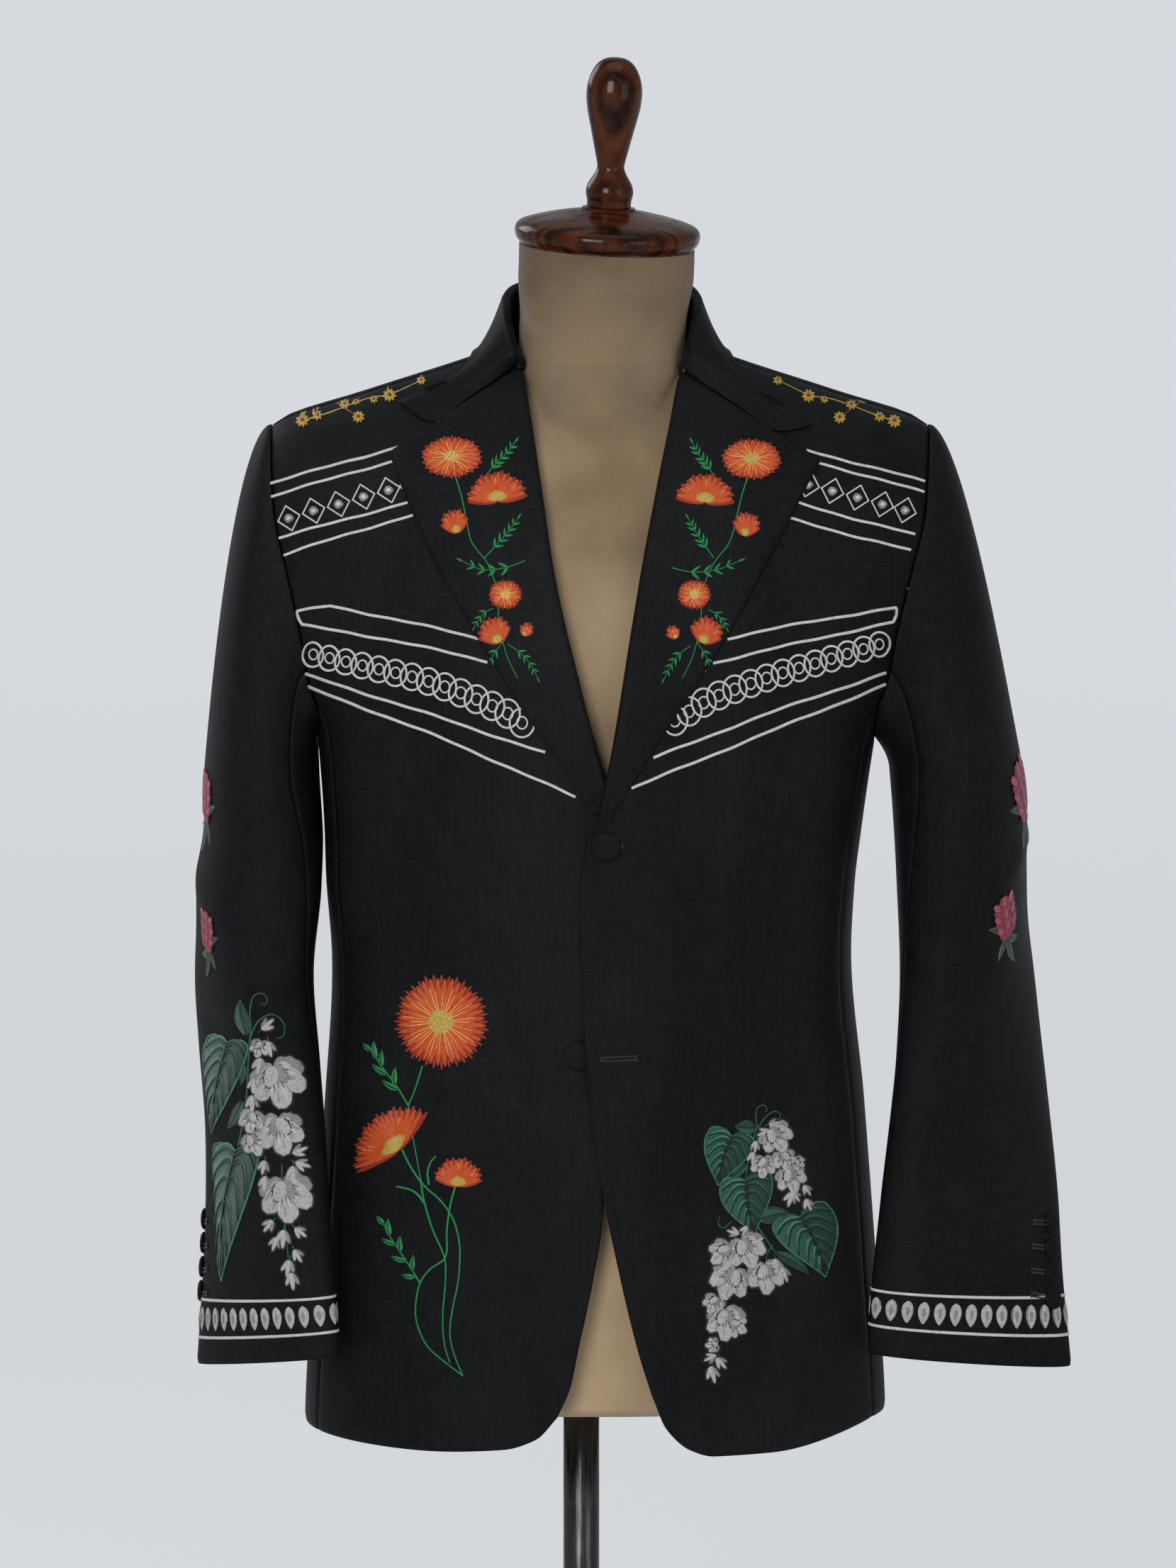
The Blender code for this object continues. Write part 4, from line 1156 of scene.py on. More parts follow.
@dataclass(frozen=True)
class Shell:
    """A thin wall of cloth between its face and its lining, with soft edges.

    The edges are those of the first and last row, then of the first and last column.
    """

    node: str
    wall: float
    edges: tuple[Edge, Edge, Edge, Edge]

    def build(self, face: Array, finishes: Finishes) -> bpy.types.Object:
        """Makes the piece: the face dips at each edge by a bell, and a middle line rounds the rim.

        Args:
            face: the outer face's points by row and column.
            finishes: those of the cloth and of its lining.

        Returns:
            The piece.
        """
        rows, columns = face.shape[:2]
        normal = turns_of(face)
        if (normal * turns_out(face)).sum() < 0:
            normal = -normal
        up, along = run_along(face, 0), run_along(face, 1)
        away = (up, up[-1] - up, along, along[:, -1:] - along)
        dip = sum(edge.value[0] * np.exp(-((far / edge.value[1]) ** 2))
                  for edge, far in zip(self.edges, away))
        outer = face - normal * dip[..., None]
        inner = face - normal * self.wall
        index = np.arange(rows * columns).reshape(rows, columns)
        ring = np.concatenate([index[0, :-1], index[:-1, -1], index[-1, :0:-1], index[:0:-1, 0]])
        count = rows * columns
        rim = 2 * count + np.arange(len(ring))
        middle = (outer.reshape(-1, 3)[ring] + inner.reshape(-1, 3)[ring]) / 2
        quads = [quads_of(rows, columns), quads_of(rows, columns)[:, ::-1] + count]
        for above, under in ((ring, rim), (rim, ring + count)):
            quads.append(np.stack([above, under, np.roll(under, -1), np.roll(above, -1)], -1))
        uv = np.stack([along, up], -1).reshape(-1, 2)
        points = np.concatenate([outer.reshape(-1, 3), inner.reshape(-1, 3), middle])
        faces = np.concatenate(quads)
        flip = np.sign((np.cross(face[0, 1] - face[0, 0], face[1, 0] - face[0, 0]) * normal[0, 0]).sum())
        faces = faces if flip > 0 else faces[:, ::-1]
        made = new_mesh(self.node + "_cloth", points, faces, np.concatenate([uv, uv, uv[ring]]))
        for finish in finishes:
            made.data.materials.append(finish.material())
        lined = np.zeros(len(faces), np.int32)
        lined[len(quads[0]):2 * len(quads[0])] = 1
        made.data.polygons.foreach_set("material_index", lined)
        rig.replaces(made, self.node)
        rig.slot(made, "wool")
        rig.ride(made, ROOT)
        area = np.linalg.norm(np.cross(face[1:, 1:] - face[:-1, :-1], face[1:, :-1] - face[:-1, 1:]),
                              axis=-1) / 2
        LOG.info("%s: %.3f by %.3f m, %.4f m2", self.node, along.max(), up.max(), area.sum())
        return made


class Panel(ABC):
    """A piece of cloth that is built as a shell on its face."""

    wall = WALL
    edges = (Edge.FOLDED, Edge.SEAM, Edge.SEAM, Edge.SEAM)

    @property
    @abstractmethod
    def node(self) -> str:
        """The solid that it stands for."""

    @abstractmethod
    def face(self) -> Array:
        """Its outer face's points by row and column."""

    def build(self, finishes: Finishes) -> bpy.types.Object:
        """Makes the piece in these finishes of the cloth and of its lining."""
        return Shell(self.node, self.wall, self.edges).build(self.face(), finishes)


def turns_out(face: Array) -> Array:
    """Directions away from the line up the middle of a piece's neighbours.

    Args:
        face: points by row and column.

    Returns:
        One direction for each point: away from the body's or the arm's middle line.
    """
    middle = face.reshape(-1, 3).mean(0)
    arm = abs(middle[0]) > 0.19
    centre = [middle[0] if arm else 0.0, 0.0, 0.0]
    return (face - centre) * [1, 1, 0] + [0, 0, 0 if arm else 0.02]


def armhole_height(turn: Array) -> Array:
    """Height on the armhole: half a cosine wave between its lowest and highest point."""
    return ARMHOLE_LOW + (ARMHOLE_HIGH - ARMHOLE_LOW) * (1 + np.cos(np.radians(turn))) / 2


def armhole_out(height: Array, back: bool = False) -> Array:
    """Distance out to the armhole's seam, which starts where the side seam ends.

    Args:
        height: height above the floor.
        back: whether it is the seam on the back.

    Returns:
        The distance.
    """
    seam, rows, turn = (BACK_SEAM, BACK_ARMHOLE, BACK_TURN) if back else (SIDE_SEAM, FRONT_ARMHOLE, SIDE_TURN)
    start = float(armhole_height(turn))
    first = (start, seam * float(JACKET.read("height", "half", start)))
    return Table("height out", np.vstack([first, rows.rows])).read("height", "out", height)


def side_points(share: Array, height: Array, side: int) -> Array:
    """Points under the arm: the oval's own angle runs from the front seam to the back seam.

    Args:
        share: 0 at the front seam and 1 at the back seam.
        height: height above the floor.
        side: 1 for the wearer's left, -1 for the right.

    Returns:
        Points of the skin.
    """
    start = -math.acos(SIDE_SEAM ** (ROUNDNESS / 2))
    angle = start + (math.acos(BACK_SEAM ** (ROUNDNESS / 2)) - start) * share
    out = JACKET.read("height", "half", height) * np.cos(angle) ** (2 / ROUNDNESS)
    return np.where((angle > 0)[..., None], SKIN.at(out, height, side, True), SKIN.at(out, height, side))


def armhole_point(turn: float, side: int) -> Array:
    """The armhole's seam at one turn round the arm.

    Args:
        turn: turn in degrees.
        side: 1 for the wearer's left, -1 for the right.

    Returns:
        One point.
    """
    height = float(armhole_height(turn))
    if SIDE_TURN < turn < BACK_TURN:
        share = (turn - SIDE_TURN) / (BACK_TURN - SIDE_TURN)
        return side_points(np.array([share]), np.array([height]), side)[0]
    back = turn >= BACK_TURN
    return SKIN.at(armhole_out(height, back), height, side, back)


@dataclass(frozen=True)
class Forepart(Panel):
    """One front of the jacket, from its edge and roll line to the side seam and the armhole."""

    side: Side
    edge: Table
    hem: Table
    roll: Table
    creases: tuple[Crease, ...]
    rows: int = 150
    columns: int = 56
    edges = (Edge.FOLDED, Edge.SEAM, Edge.FOLDED, Edge.SEAM)

    @property
    def node(self) -> str:
        """The solid that it stands for."""
        return f"{self.side.prefix}_front"

    def surface(self) -> BodySurface:
        """The creased skin that it lies on."""
        return BodySurface(self.side, creases=self.creases)

    def face(self) -> Array:
        """Rows from the edge out to the seam, the lowest of them shaped by the hem's own line.

        Returns:
            Points by row and column.
        """
        heights = np.concatenate([
            BACK_HEM + (0.35 * np.linspace(0, 1, 40) ** 1.35),
            np.linspace(BACK_HEM + 0.36, BODY_TOP, self.rows - 52),
            np.linspace(ARMHOLE_HIGH, NECK_POINT, 12),
        ])
        share = eased(0, 1, np.linspace(0, 1, self.columns)) * 0.45 + np.linspace(0, 1, self.columns) * 0.55
        fade = np.clip(1 - (heights - BACK_HEM) / HEM_BLEND, 0, 1) ** 2
        inner_height = heights + (self.edge.rows[0, 0] - BACK_HEM) * fade
        outer_height = heights + (self.hem.rows[-1, 1] - BACK_HEM) * fade
        half = JACKET.read("height", "half", outer_height)
        outer = np.where(heights < armhole_height(SIDE_TURN), SIDE_SEAM * half, armhole_out(heights))
        outer = np.where(heights > ARMHOLE_HIGH - 1e-6, half * 0.9999, outer - GAP / 2)
        below = self.edge.read("height", "out", inner_height)
        inner = np.where(heights <= BREAK_HEIGHT, below, self.roll.read("height", "out", heights))
        out = inner[:, None] + (outer - inner)[:, None] * share
        height = inner_height[:, None] + (outer_height - inner_height)[:, None] * share
        height = height + fade[:, None] * (self.hem.read("out", "height", out[0]) - height[0])
        return self.surface().points(out, height)


@dataclass(frozen=True)
class BackPart(Panel):
    """One half of the back, from the centre seam to the side seam and the armhole."""

    side: Side
    creases: tuple[Crease, ...]
    rows: int = 130
    columns: int = 44

    @property
    def node(self) -> str:
        """The solid that it stands for."""
        return f"back_{self.side.prefix}"

    def face(self) -> Array:
        """Level rows from the centre seam out.

        Returns:
            Points by row and column.
        """
        heights = np.concatenate([
            np.linspace(BACK_HEM, BODY_TOP, self.rows), np.linspace(ARMHOLE_HIGH, NECK_POINT, 12)])
        half = JACKET.read("height", "half", heights)
        outer = np.where(heights < armhole_height(BACK_TURN), BACK_SEAM * half, armhole_out(heights, True))
        outer = np.where(heights > ARMHOLE_HIGH - 1e-6, half * 0.9999, outer - GAP / 2)
        out = GAP / 2 + (outer - GAP / 2)[:, None] * np.linspace(0, 1, self.columns) ** 0.85
        height = np.broadcast_to(heights[:, None], out.shape)
        return BodySurface(self.side, True, self.creases).points(out, height)


@dataclass(frozen=True)
class SideBody(Panel):
    """The underarm panel between the front and the back."""

    side: Side
    hem_height: float
    rows: int = 110
    columns: int = 26

    @property
    def node(self) -> str:
        """The solid that it stands for."""
        return f"{self.side.prefix}_side_body"

    def face(self) -> Array:
        """Rows between the front and the back seam: the top one follows the armhole and the lowest the hem.

        Returns:
            Points by row and column.
        """
        share = np.linspace(0, 1, self.columns)
        top = armhole_height(SIDE_TURN + (BACK_TURN - SIDE_TURN) * share)
        low = self.hem_height + (BACK_HEM - self.hem_height) * share**2
        height = low + (top - low) * np.linspace(0, 1, self.rows)[:, None]
        inset = 0.0045 * (1 - 2 * share)
        return side_points(np.broadcast_to(share + inset, height.shape), height, self.side.value)


@dataclass(frozen=True)
class Lapel(Panel):
    """A turned-back front from the break to the gorge."""

    side: Side
    rows: Table
    roll: Table
    count: int = 90
    across: int = 26
    turn: tuple[tuple[float, float], ...] = (
        (0.0026, -WALL), (0.0028, -0.0010), (0.0028, 0.0002), (0.0025, 0.0015), (0.0020, 0.0026),
        (0.0012, 0.0034), (0.0002, 0.0039),
    )
    wall = FOLD_WALL
    edges = (Edge.SEAM, Edge.SEAM, Edge.BURIED, Edge.FOLDED)

    @property
    def node(self) -> str:
        """The solid that it stands for."""
        return f"{self.side.prefix}_lapel"

    def surface(self) -> LapelSurface:
        """The lapel's face outside the roll."""
        return LapelSurface(self.side, self.rows, self.roll)

    def face(self) -> Array:
        """A few columns round the roll line, then the face to its edge.

        Returns:
            Points by row and column.
        """
        surface = self.surface()
        place = np.linspace(0, 1, self.count)
        share = 0.04 + 0.96 * np.linspace(0, 1, self.across)
        flat = surface.points(*np.meshgrid(share, place))
        start_height = surface.rows.read("place", "roll_height", place)
        start = self.roll.read("height", "out", start_height)
        bend = np.array(self.turn)
        out = start[:, None] - bend[:, 0]
        height = np.repeat(start_height[:, None], len(bend), 1)
        lift = np.broadcast_to(bend[:, 1], out.shape)
        if self.side is Side.LEFT:
            lift = lift + left_lift(out, height)
        rolled = SKIN.moved(SKIN.at(out, height, self.side.value), lift)
        return np.concatenate([rolled, flat], axis=1)


@dataclass(frozen=True)
class Leaf:
    """The collar's end on one side: gorge, notch and corner, each as a distance out and a height."""

    gorge: tuple[float, float]
    notch: tuple[float, float]
    corner: tuple[float, float]


@dataclass(frozen=True)
class Collar(Panel):
    """Stand and fall in one piece, from one gorge round the neck to the other."""

    leaves: tuple[Leaf, Leaf]
    sides: tuple[Table, Table]
    back: Table
    finer: int = 9
    node = "collar"
    wall = FOLD_WALL
    edges = (Edge.SEAM, Edge.SEAM, Edge.BURIED, Edge.FOLDED)

    def end(self, leaf: Leaf, side: int) -> Array:
        """The visible line at the collar's end: round the roll, along the gorge, then to the corner.

        Args:
            leaf: the end's places.
            side: 1 for the wearer's left, -1 for the right.

        Returns:
            Points across the collar.
        """
        turn = ((-0.0012, -0.0035), (-0.0020, -0.0025), (-0.0030, -0.0010), (-0.0032, 0.0012),
                (-0.0020, 0.0034))
        places = [(leaf.gorge[0] + step, leaf.gorge[1], lift) for step, lift in turn]
        for share, lift in ((0.0, LAPEL_FOLD), (0.25, 0.0040), (0.62, 0.0032), (1.0, LAPEL_EDGE + 0.0004)):
            places.append((*(g + (n - g) * share for g, n in zip(leaf.gorge, leaf.notch)), lift))
        places.append((*leaf.corner, LAPEL_EDGE))
        out, height, lift = np.array(places).T
        return SKIN.moved(SKIN.at(out, height, side), lift)

    def station(self, row: Array, side: int, back: bool) -> Array:
        """The visible line at one station: the stand's foot, the fold, the fall and its edge.

        Args:
            row: the fold's place and the edge's place.
            side: 1 for the wearer's left, -1 for the right.
            back: whether the edge lies on the back.

        Returns:
            Points across the collar.
        """
        fold_out, fold_y, fold_height, edge_out, edge_height = row
        edge = SKIN.moved(SKIN.at(edge_out, edge_height, side, back), LAPEL_EDGE)
        centre = float(JACKET.read("height", "centre", fold_height))
        fold = np.array([centre + side * fold_out, fold_y, fold_height])
        inward = unit(np.array([centre - fold[0], -fold[1], 0.0]))
        up = np.array([0.0, 0.0, 1.0])
        drop = 0.003 + (fold_height - STAND_FOOT) * float(eased(-0.045, 0.010, fold_y))
        foot = fold + inward * (FOLD_WIDTH - 0.002) - up * drop
        low = fold + inward * FOLD_WIDTH - up * 0.004
        start = fold - up * 0.0030 - inward * 0.0012
        line = [foot, (foot + low) / 2, low + up * 0.001, fold + inward * FOLD_WIDTH * 0.55, fold, start]
        hug = -0.004 * up if back or fold_y > -0.01 else -0.002 * up
        line += [start + (edge - start) * share + hug * math.sin(math.pi * share)
                 for share in (0.3, 0.6, 0.82, 1.0)]
        return np.array(line)

    def face(self) -> Array:
        """Its stations from side to side, joined by a smooth curve.

        Returns:
            Points by row and column.
        """
        halves = []
        for side, leaf, rows in zip((1, -1), self.leaves, self.sides):
            stations = [self.end(leaf, side)] + [self.station(row, side, False) for row in rows.rows]
            halves.append(np.array(stations + [self.station(row, side, True) for row in self.back.rows]))
        face = smooth_rows(np.concatenate([halves[0], halves[1][-2::-1]]), self.finer)
        face[:, 6:] = SKIN.clear(face[:, 6:], FOLD_WALL + 0.0016)
        return smooth_rows(face.swapaxes(0, 1), 4).swapaxes(0, 1)


@dataclass(frozen=True)
class Sleeve:
    """A sleeve of two parts: the cap eases from the armhole down to the arm's rings."""

    side: Side
    rings: Table
    creases: tuple[Crease, ...]
    slant: tuple[float, float]
    step: float = 3.0
    length: int = 120

    def surface(self) -> SleeveSurface:
        """The sleeve's face below the cap."""
        return SleeveSurface(self.side, self.rings, self.creases, self.slant)

    def grid(self) -> tuple[Array, Array]:
        """The whole sleeve's face: cubic curves down the cap, then level rings.

        Returns:
            The turns, and the points by row from the armhole down and by turn.
        """
        sign, surface = self.side.value, self.surface()
        turns = np.arange(0, 360.5, self.step)
        seam = np.array([armhole_point(turn % 360, sign) for turn in turns]) + [sign * 0.0006, 0, 0]
        foot = surface.points(turns, CAP_FOOT)
        up = (surface.points(turns, CAP_FOOT + 0.01) - foot) / 0.01
        tall = (seam[:, 2] - CAP_FOOT)[:, None]
        top = np.cos(np.radians(turns / 2))[:, None] ** 2
        high = seam + np.array([sign, 0, -0.12]) * (0.001 + 0.018 * top)
        low = foot + up * tall * 0.50
        t = (np.linspace(0, 1, 42) ** 1.3)[:, None, None]
        cap = seam * (1 - t) ** 3 + 3 * high * t * (1 - t) ** 2 + 3 * low * t * t * (1 - t) + foot * t**3
        swell = sum(c.swell((turns + 90) % 360 - 90, cap[..., 2]) for c in self.creases)
        away = unit((cap - surface.within(cap)) * [1, 1, 0])
        cap = cap + away * (swell * eased(0, 0.25, t[..., 0]) * (t[..., 0] < 0.999))[..., None]
        heights = np.linspace(CAP_FOOT, CUFF, self.length)[1:]
        return turns, np.concatenate([cap, surface.points(*np.meshgrid(turns, heights))])

    def build(self, finishes: Finishes) -> list[bpy.types.Object]:
        """Makes the top sleeve and the under sleeve.

        Args:
            finishes: those of the cloth and of its lining.

        Returns:
            Both pieces.
        """
        turns, grid = self.grid()
        parts = {"top_sleeve": (turns >= REAR_PART) | (turns <= FRONT_PART),
                 "under_sleeve": (turns >= FRONT_PART) & (turns <= REAR_PART)}
        made = []
        for part, chosen in parts.items():
            columns = np.flatnonzero(chosen)
            if part == "top_sleeve":
                rear = columns[turns[columns] >= REAR_PART]
                columns = np.concatenate([rear[:-1], columns[turns[columns] <= FRONT_PART]])
            face = grid[:, columns]
            for end, step in ((0, 1), (-1, -1)):
                face[:, end] += unit(face[:, end + step] - face[:, end]) * GAP * 0.6
            shell = Shell(f"{self.side.prefix}_{part}", SLEEVE_WALL,
                          (Edge.SEAM, Edge.FOLDED, Edge.SEAM, Edge.SEAM))
            made.append(shell.build(face, finishes))
        return made


@dataclass(frozen=True)
class Turned:
    """A turned piece: its profile's corners are rounded and swept round its axis."""

    name: str
    node: str
    slot: str
    profile: str | Array
    finer: int = 3
    steps: int = 96

    def line(self) -> Array:
        """The profile with more points: a smooth curve, but for corners given twice."""
        return smooth_rows(rows_of(self.profile, 2), self.finer)

    def build(self, finish: Finish, place: Matrix = Matrix.Identity(4)) -> bpy.types.Object:
        """Makes the piece: each profile point goes round a full circle.

        Args:
            finish: its finish.
            place: where its axis stands.

        Returns:
            The piece.
        """
        line = self.line()
        radius = np.maximum(line[:, :1], 1e-5)
        turn = np.linspace(0, 2 * math.pi, self.steps, endpoint=False)
        ring = np.stack([radius * np.cos(turn), radius * np.sin(turn),
                         np.repeat(line[:, 1:], self.steps, 1)], -1)
        placed = ring.reshape(-1, 3) @ np.array(place)[:3, :3].T + np.array(place)[:3, 3]
        uv = np.stack(np.broadcast_arrays(radius * turn, run_along(line[:, None], 0)), -1).reshape(-1, 2)
        made = new_mesh(self.name, placed, quads_of(len(line), self.steps, True)[:, ::-1], uv)
        made.data.materials.append(finish.material())
        made.data.set_sharp_from_angle(angle=math.radians(45))
        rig.replaces(made, self.node)
        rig.slot(made, self.slot)
        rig.ride(made, ROOT)
        return made


def button_profile(radius: float, height: float) -> Array:
    """A covered button's radii and heights: a low dome whose cloth turns under its rim."""
    dome = "0 1 .3 .985 .6 .9 .8 .76 .92 .55 .985 .36 1 .22 .97 .1 .88 0 .5 0 0 0"
    return rows_of(dome, 2) * [radius, height]


@dataclass(frozen=True)
class Buttons:
    """The covered buttons: two on the fronts and four on each cuff."""

    radius: float = 0.0100
    height: float = 0.0036
    cuff_radius: float = 0.0074
    cuff_height: float = 0.0030

    def build_one(self, name: str, node: str, point: Array, normal: Array, cuff: bool,
                  finish: Finish) -> None:
        """Makes one button on a point of the cloth.

        Args:
            name: the piece's name.
            node: its solid.
            point: where its back's middle is.
            normal: the direction out of the cloth.
            cuff: whether it is a cuff's smaller button.
            finish: its finish.
        """
        size = (self.cuff_radius, self.cuff_height) if cuff else (self.radius, self.height)
        turn = Vector(normal).to_track_quat("Z", "Y").to_matrix().to_4x4()
        place = Matrix.Translation(Vector(point) + Vector(normal) * GAP) @ turn
        Turned(name, node, "covered_button", button_profile(*size), 3, 40).build(finish, place)

    def build(self, sleeves: dict[Side, "Sleeve"], finish: Finish) -> None:
        """Makes them all where the solids have them.

        Args:
            sleeves: the sleeves by side.
            finish: their finish.
        """
        out, height = UPPER_BUTTON
        point = SKIN.moved(SKIN.at(out, height, 1), left_lift(np.array(out), np.array(height)))
        self.build_one("upper_button", "front_button_upper", point, SKIN.outward(point), False, finish)
        out, height = LOWER_BUTTON
        point = SKIN.at(out, height, -1)
        self.build_one("lower_button", "front_button_lower", point, SKIN.outward(point), False, finish)
        for side, sleeve in sleeves.items():
            surface = SleeveSurface(side, sleeve.rings)
            for number, height in enumerate(CUFF_BUTTON_HEIGHTS, 1):
                place = np.array([CUFF_BUTTON_TURNS[side.prefix]]), np.array([height])
                point, normal = surface.points(*place)[0], surface.normals(*place)[0]
                name = f"{side.prefix}_cuff_button_{number}"
                self.build_one(name + "_cover", name, point - normal * GAP, normal, True, finish)


@dataclass(frozen=True)
class DressForm:
    """The padded form: oval sections up to the shoulders, eased into a round neck."""

    sections: Table
    bottom: float = 0.7305
    top: float = 1.5137
    neck: tuple[float, float] = (0.0562, 0.0590)
    shift: float = 0.002
    blend: float = 24.0
    centre_top: float = 0.0172
    tilt: float = math.radians(2.8)
    rows: int = 150
    columns: int = 160

    def ring(self, height: Array, angle: Array) -> Array:
        """Points of the form: the torso's oval and the neck's circle, whichever is larger.

        Args:
            height: heights.
            angle: angles round the form.

        Returns:
            Points.
        """
        read = self.sections.read
        low = np.minimum(height, self.sections.rows[-1, 0])
        depth = np.where(np.sin(angle) > 0, read("height", "back", low), read("height", "front", low))
        part = np.abs(np.cos(angle) / read("height", "half", low)) ** ROUNDNESS
        torso = (part + np.abs(np.sin(angle) / depth) ** ROUNDNESS) ** (-1 / ROUNDNESS)
        torso = torso * (1 - 0.9 * eased(1.44, 1.45, height))
        shrink = 0.010 * (1 - np.minimum(height - self.bottom, 0.008) / 0.008) ** 2
        round_it = self.neck[0] + (self.neck[1] - self.neck[0]) * eased(1.465, 1.495, height)
        neck = self.shift * np.sin(angle) + np.sqrt(round_it**2 - (self.shift * np.cos(angle)) ** 2)
        neck = neck * eased(1.30, 1.36, height)
        radius = (torso**self.blend + neck**self.blend) ** (1 / self.blend) - shrink
        centre = read("height", "centre", height)
        centre = centre + (self.centre_top - centre) * eased(1.44, self.top, height)
        x = centre + radius * np.cos(angle)
        z = height - math.tan(self.tilt) * eased(1.45, self.top, height) * (x - centre)
        return np.stack([x, radius * np.sin(angle), z], axis=-1)

    def build(self, finish: Finish) -> bpy.types.Object:
        """Makes the piece: closely spaced rings, a shallow seam up its front and its sides, and a
        flat board under it.

        Args:
            finish: its finish.

        Returns:
            The piece.
        """
        height = np.concatenate([
            self.bottom + 0.012 * np.linspace(0, 1, 10) ** 1.5,
            np.linspace(self.bottom + 0.018, 1.36, self.rows - 60),
            np.linspace(1.365, self.top, 50)])[:, None]
        angle = np.linspace(0, 2 * math.pi, self.columns, endpoint=False)[None]
        points = self.ring(height, angle)
        seam = sum(np.exp(-(((angle - at + math.pi) % (2 * math.pi) - math.pi) / 0.012) ** 2)
                   for at in np.radians((270, 0, 180, 90)))
        points[..., :2] -= (seam * 0.0006)[..., None] * unit(points[..., :2])
        loop = np.concatenate([points, points[:, :1]], axis=1)
        uv = np.stack([run_along(loop, 1)[:, :-1], run_along(points, 0)], -1)
        share = np.array([0.96, 0.7, 0.35, 0.001])[:, None, None]
        foot, crown = points[0], points[-1]
        under = foot.mean(0) + (foot - foot.mean(0)) * share
        over = crown.mean(0) + (crown - crown.mean(0)) * share
        grid = np.concatenate([under[::-1], points, over])
        uv = np.concatenate([uv[:1].repeat(4, 0), uv, uv[-1:].repeat(4, 0)])
        made = new_mesh("form_cover", grid.reshape(-1, 3), quads_of(len(grid), self.columns, True),
                        uv.reshape(-1, 2))
        made.data.materials.append(finish.material())
        made.data.set_sharp_from_angle(angle=math.radians(45))
        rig.replaces(made, "form_torso")
        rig.slot(made, "form_cover")
        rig.ride(made, ROOT)
        return made


@dataclass(frozen=True)
class Stand:
    """The wooden cap and finial on the neck, and the pole and base under the form."""

    cap: Turned
    finial: Turned
    pole: Turned
    base: Turned
    cap_height: float = 0.0262

    def build(self, form: DressForm, wood: Finish, metal: Finish) -> None:
        """Makes the four pieces; cap and finial share the neck's tilt.

        Args:
            form: the form that they belong to.
            wood: the finish of cap and finial.
            metal: the finish of pole and base.
        """
        foot = Matrix.Translation((form.centre_top, form.shift, form.top + GAP))
        place = foot @ Matrix.Rotation(form.tilt, 4, "Y")
        self.cap.build(wood, place)
        self.finial.build(wood, place @ Matrix.Translation((0, 0, self.cap_height + GAP)))
        self.pole.build(metal)
        self.base.build(metal)


LEAF_LEFT = Leaf((0.0545, 1.4316), (0.1184, 1.3952), (0.1430, 1.3985))
LEAF_RIGHT = Leaf((0.0550, 1.4350), (0.1124, 1.4006), (0.1360, 1.4120))
STAND = Stand(
    Turned("neck_cap_wood", "neck_cap", "turned_wood",
           "0 .0262 .01 .0262 .0175 .0262 .019 .0246 .03 .0226 .044 .0196 .056 .0162 .0608 .0135 "
           ".0625 .0095 .0616 .0045 .0585 .001 .056 0 .03 0 0 0"),
    Turned("finial_wood", "finial", "turned_wood",
           "0 .101 .007 .1 .013 .0955 .0172 .087 .01885 .077 .0178 .066 .015 .054 .0118 .04 "
           ".0095 .03 .0093 .026 .0112 .0215 .015 .015 .016 .0095 .015 .0045 .0148 .001 .0138 0 "
           ".006 0 0 0"),
    Turned("pole_steel", "pole", "black_metal",
           "0 .7302 .0115 .7302 .0123 .7294 .0123 .0611 .0115 .0603 0 .0603", 1),
    Turned("base_steel", "base", "black_metal",
           "0 .06 .0245 .06 .026 .06 .029 .0585 .03 .056 .03 .03 .0315 .024 .04 .018 .06 .014 "
           ".12 .0125 .175 .0112 .182 .01 .185 .006 .185 .001 .1845 0 .175 0 0 0", 1),
)


WHITE = Thread("white_thread", (0.62, 0.60, 0.58), (0.30, 0.29, 0.28))
PEARL = Thread("pearl_thread", (0.47, 0.455, 0.435), (0.17, 0.165, 0.155))
SILVER = Thread("silver_thread", (0.27, 0.262, 0.25), (0.095, 0.092, 0.088))
ASH = Thread("ash_thread", (0.085, 0.085, 0.085), (0.035, 0.035, 0.035))
SOOT = Thread("soot_thread", (0.012, 0.012, 0.013), (0.005, 0.005, 0.005))
FLAME = Thread("flame_thread", (0.30, 0.026, 0.008), (0.15, 0.010, 0.003))
ORANGE = Thread("orange_thread", (0.56, 0.085, 0.013), (0.30, 0.030, 0.005))
YELLOW = Thread("yellow_thread", (0.50, 0.36, 0.075), (0.27, 0.17, 0.025))
STRAW = Thread("straw_thread", (0.80, 0.50, 0.16), (0.52, 0.26, 0.06))
GREEN = Thread("green_thread", (0.012, 0.240, 0.062), (0.006, 0.115, 0.032))
FOLIAGE = Thread("foliage_thread", (0.016, 0.098, 0.056), (0.004, 0.030, 0.018))
LEAF = Thread("leaf_thread", (0.008, 0.045, 0.028), (0.004, 0.021, 0.013))
MINT = Thread("mint_thread", (0.050, 0.210, 0.125), (0.014, 0.075, 0.045))
MOSS = Thread("moss_thread", (0.016, 0.042, 0.022), (0.007, 0.018, 0.010))
SAGE = Thread("sage_thread", (0.085, 0.115, 0.070), (0.040, 0.060, 0.036))
NIGHT = Thread("night_thread", (0.004, 0.012, 0.008), (0.002, 0.005, 0.004))
PINK = Thread("pink_thread", (0.25, 0.026, 0.054), (0.12, 0.011, 0.024))
ROSE = Thread("rose_thread", (0.36, 0.085, 0.125), (0.19, 0.030, 0.052))
GOLD = Thread("gold_thread", (0.42, 0.29, 0.030), (0.22, 0.13, 0.010))
RED = Thread("red_thread", (0.24, 0.014, 0.018), (0.12, 0.006, 0.008))
SPRING = (GREEN, GREEN)
BUTTONHOLE = Thread("buttonhole_thread", (0.013, 0.013, 0.018), (0.006, 0.006, 0.009))


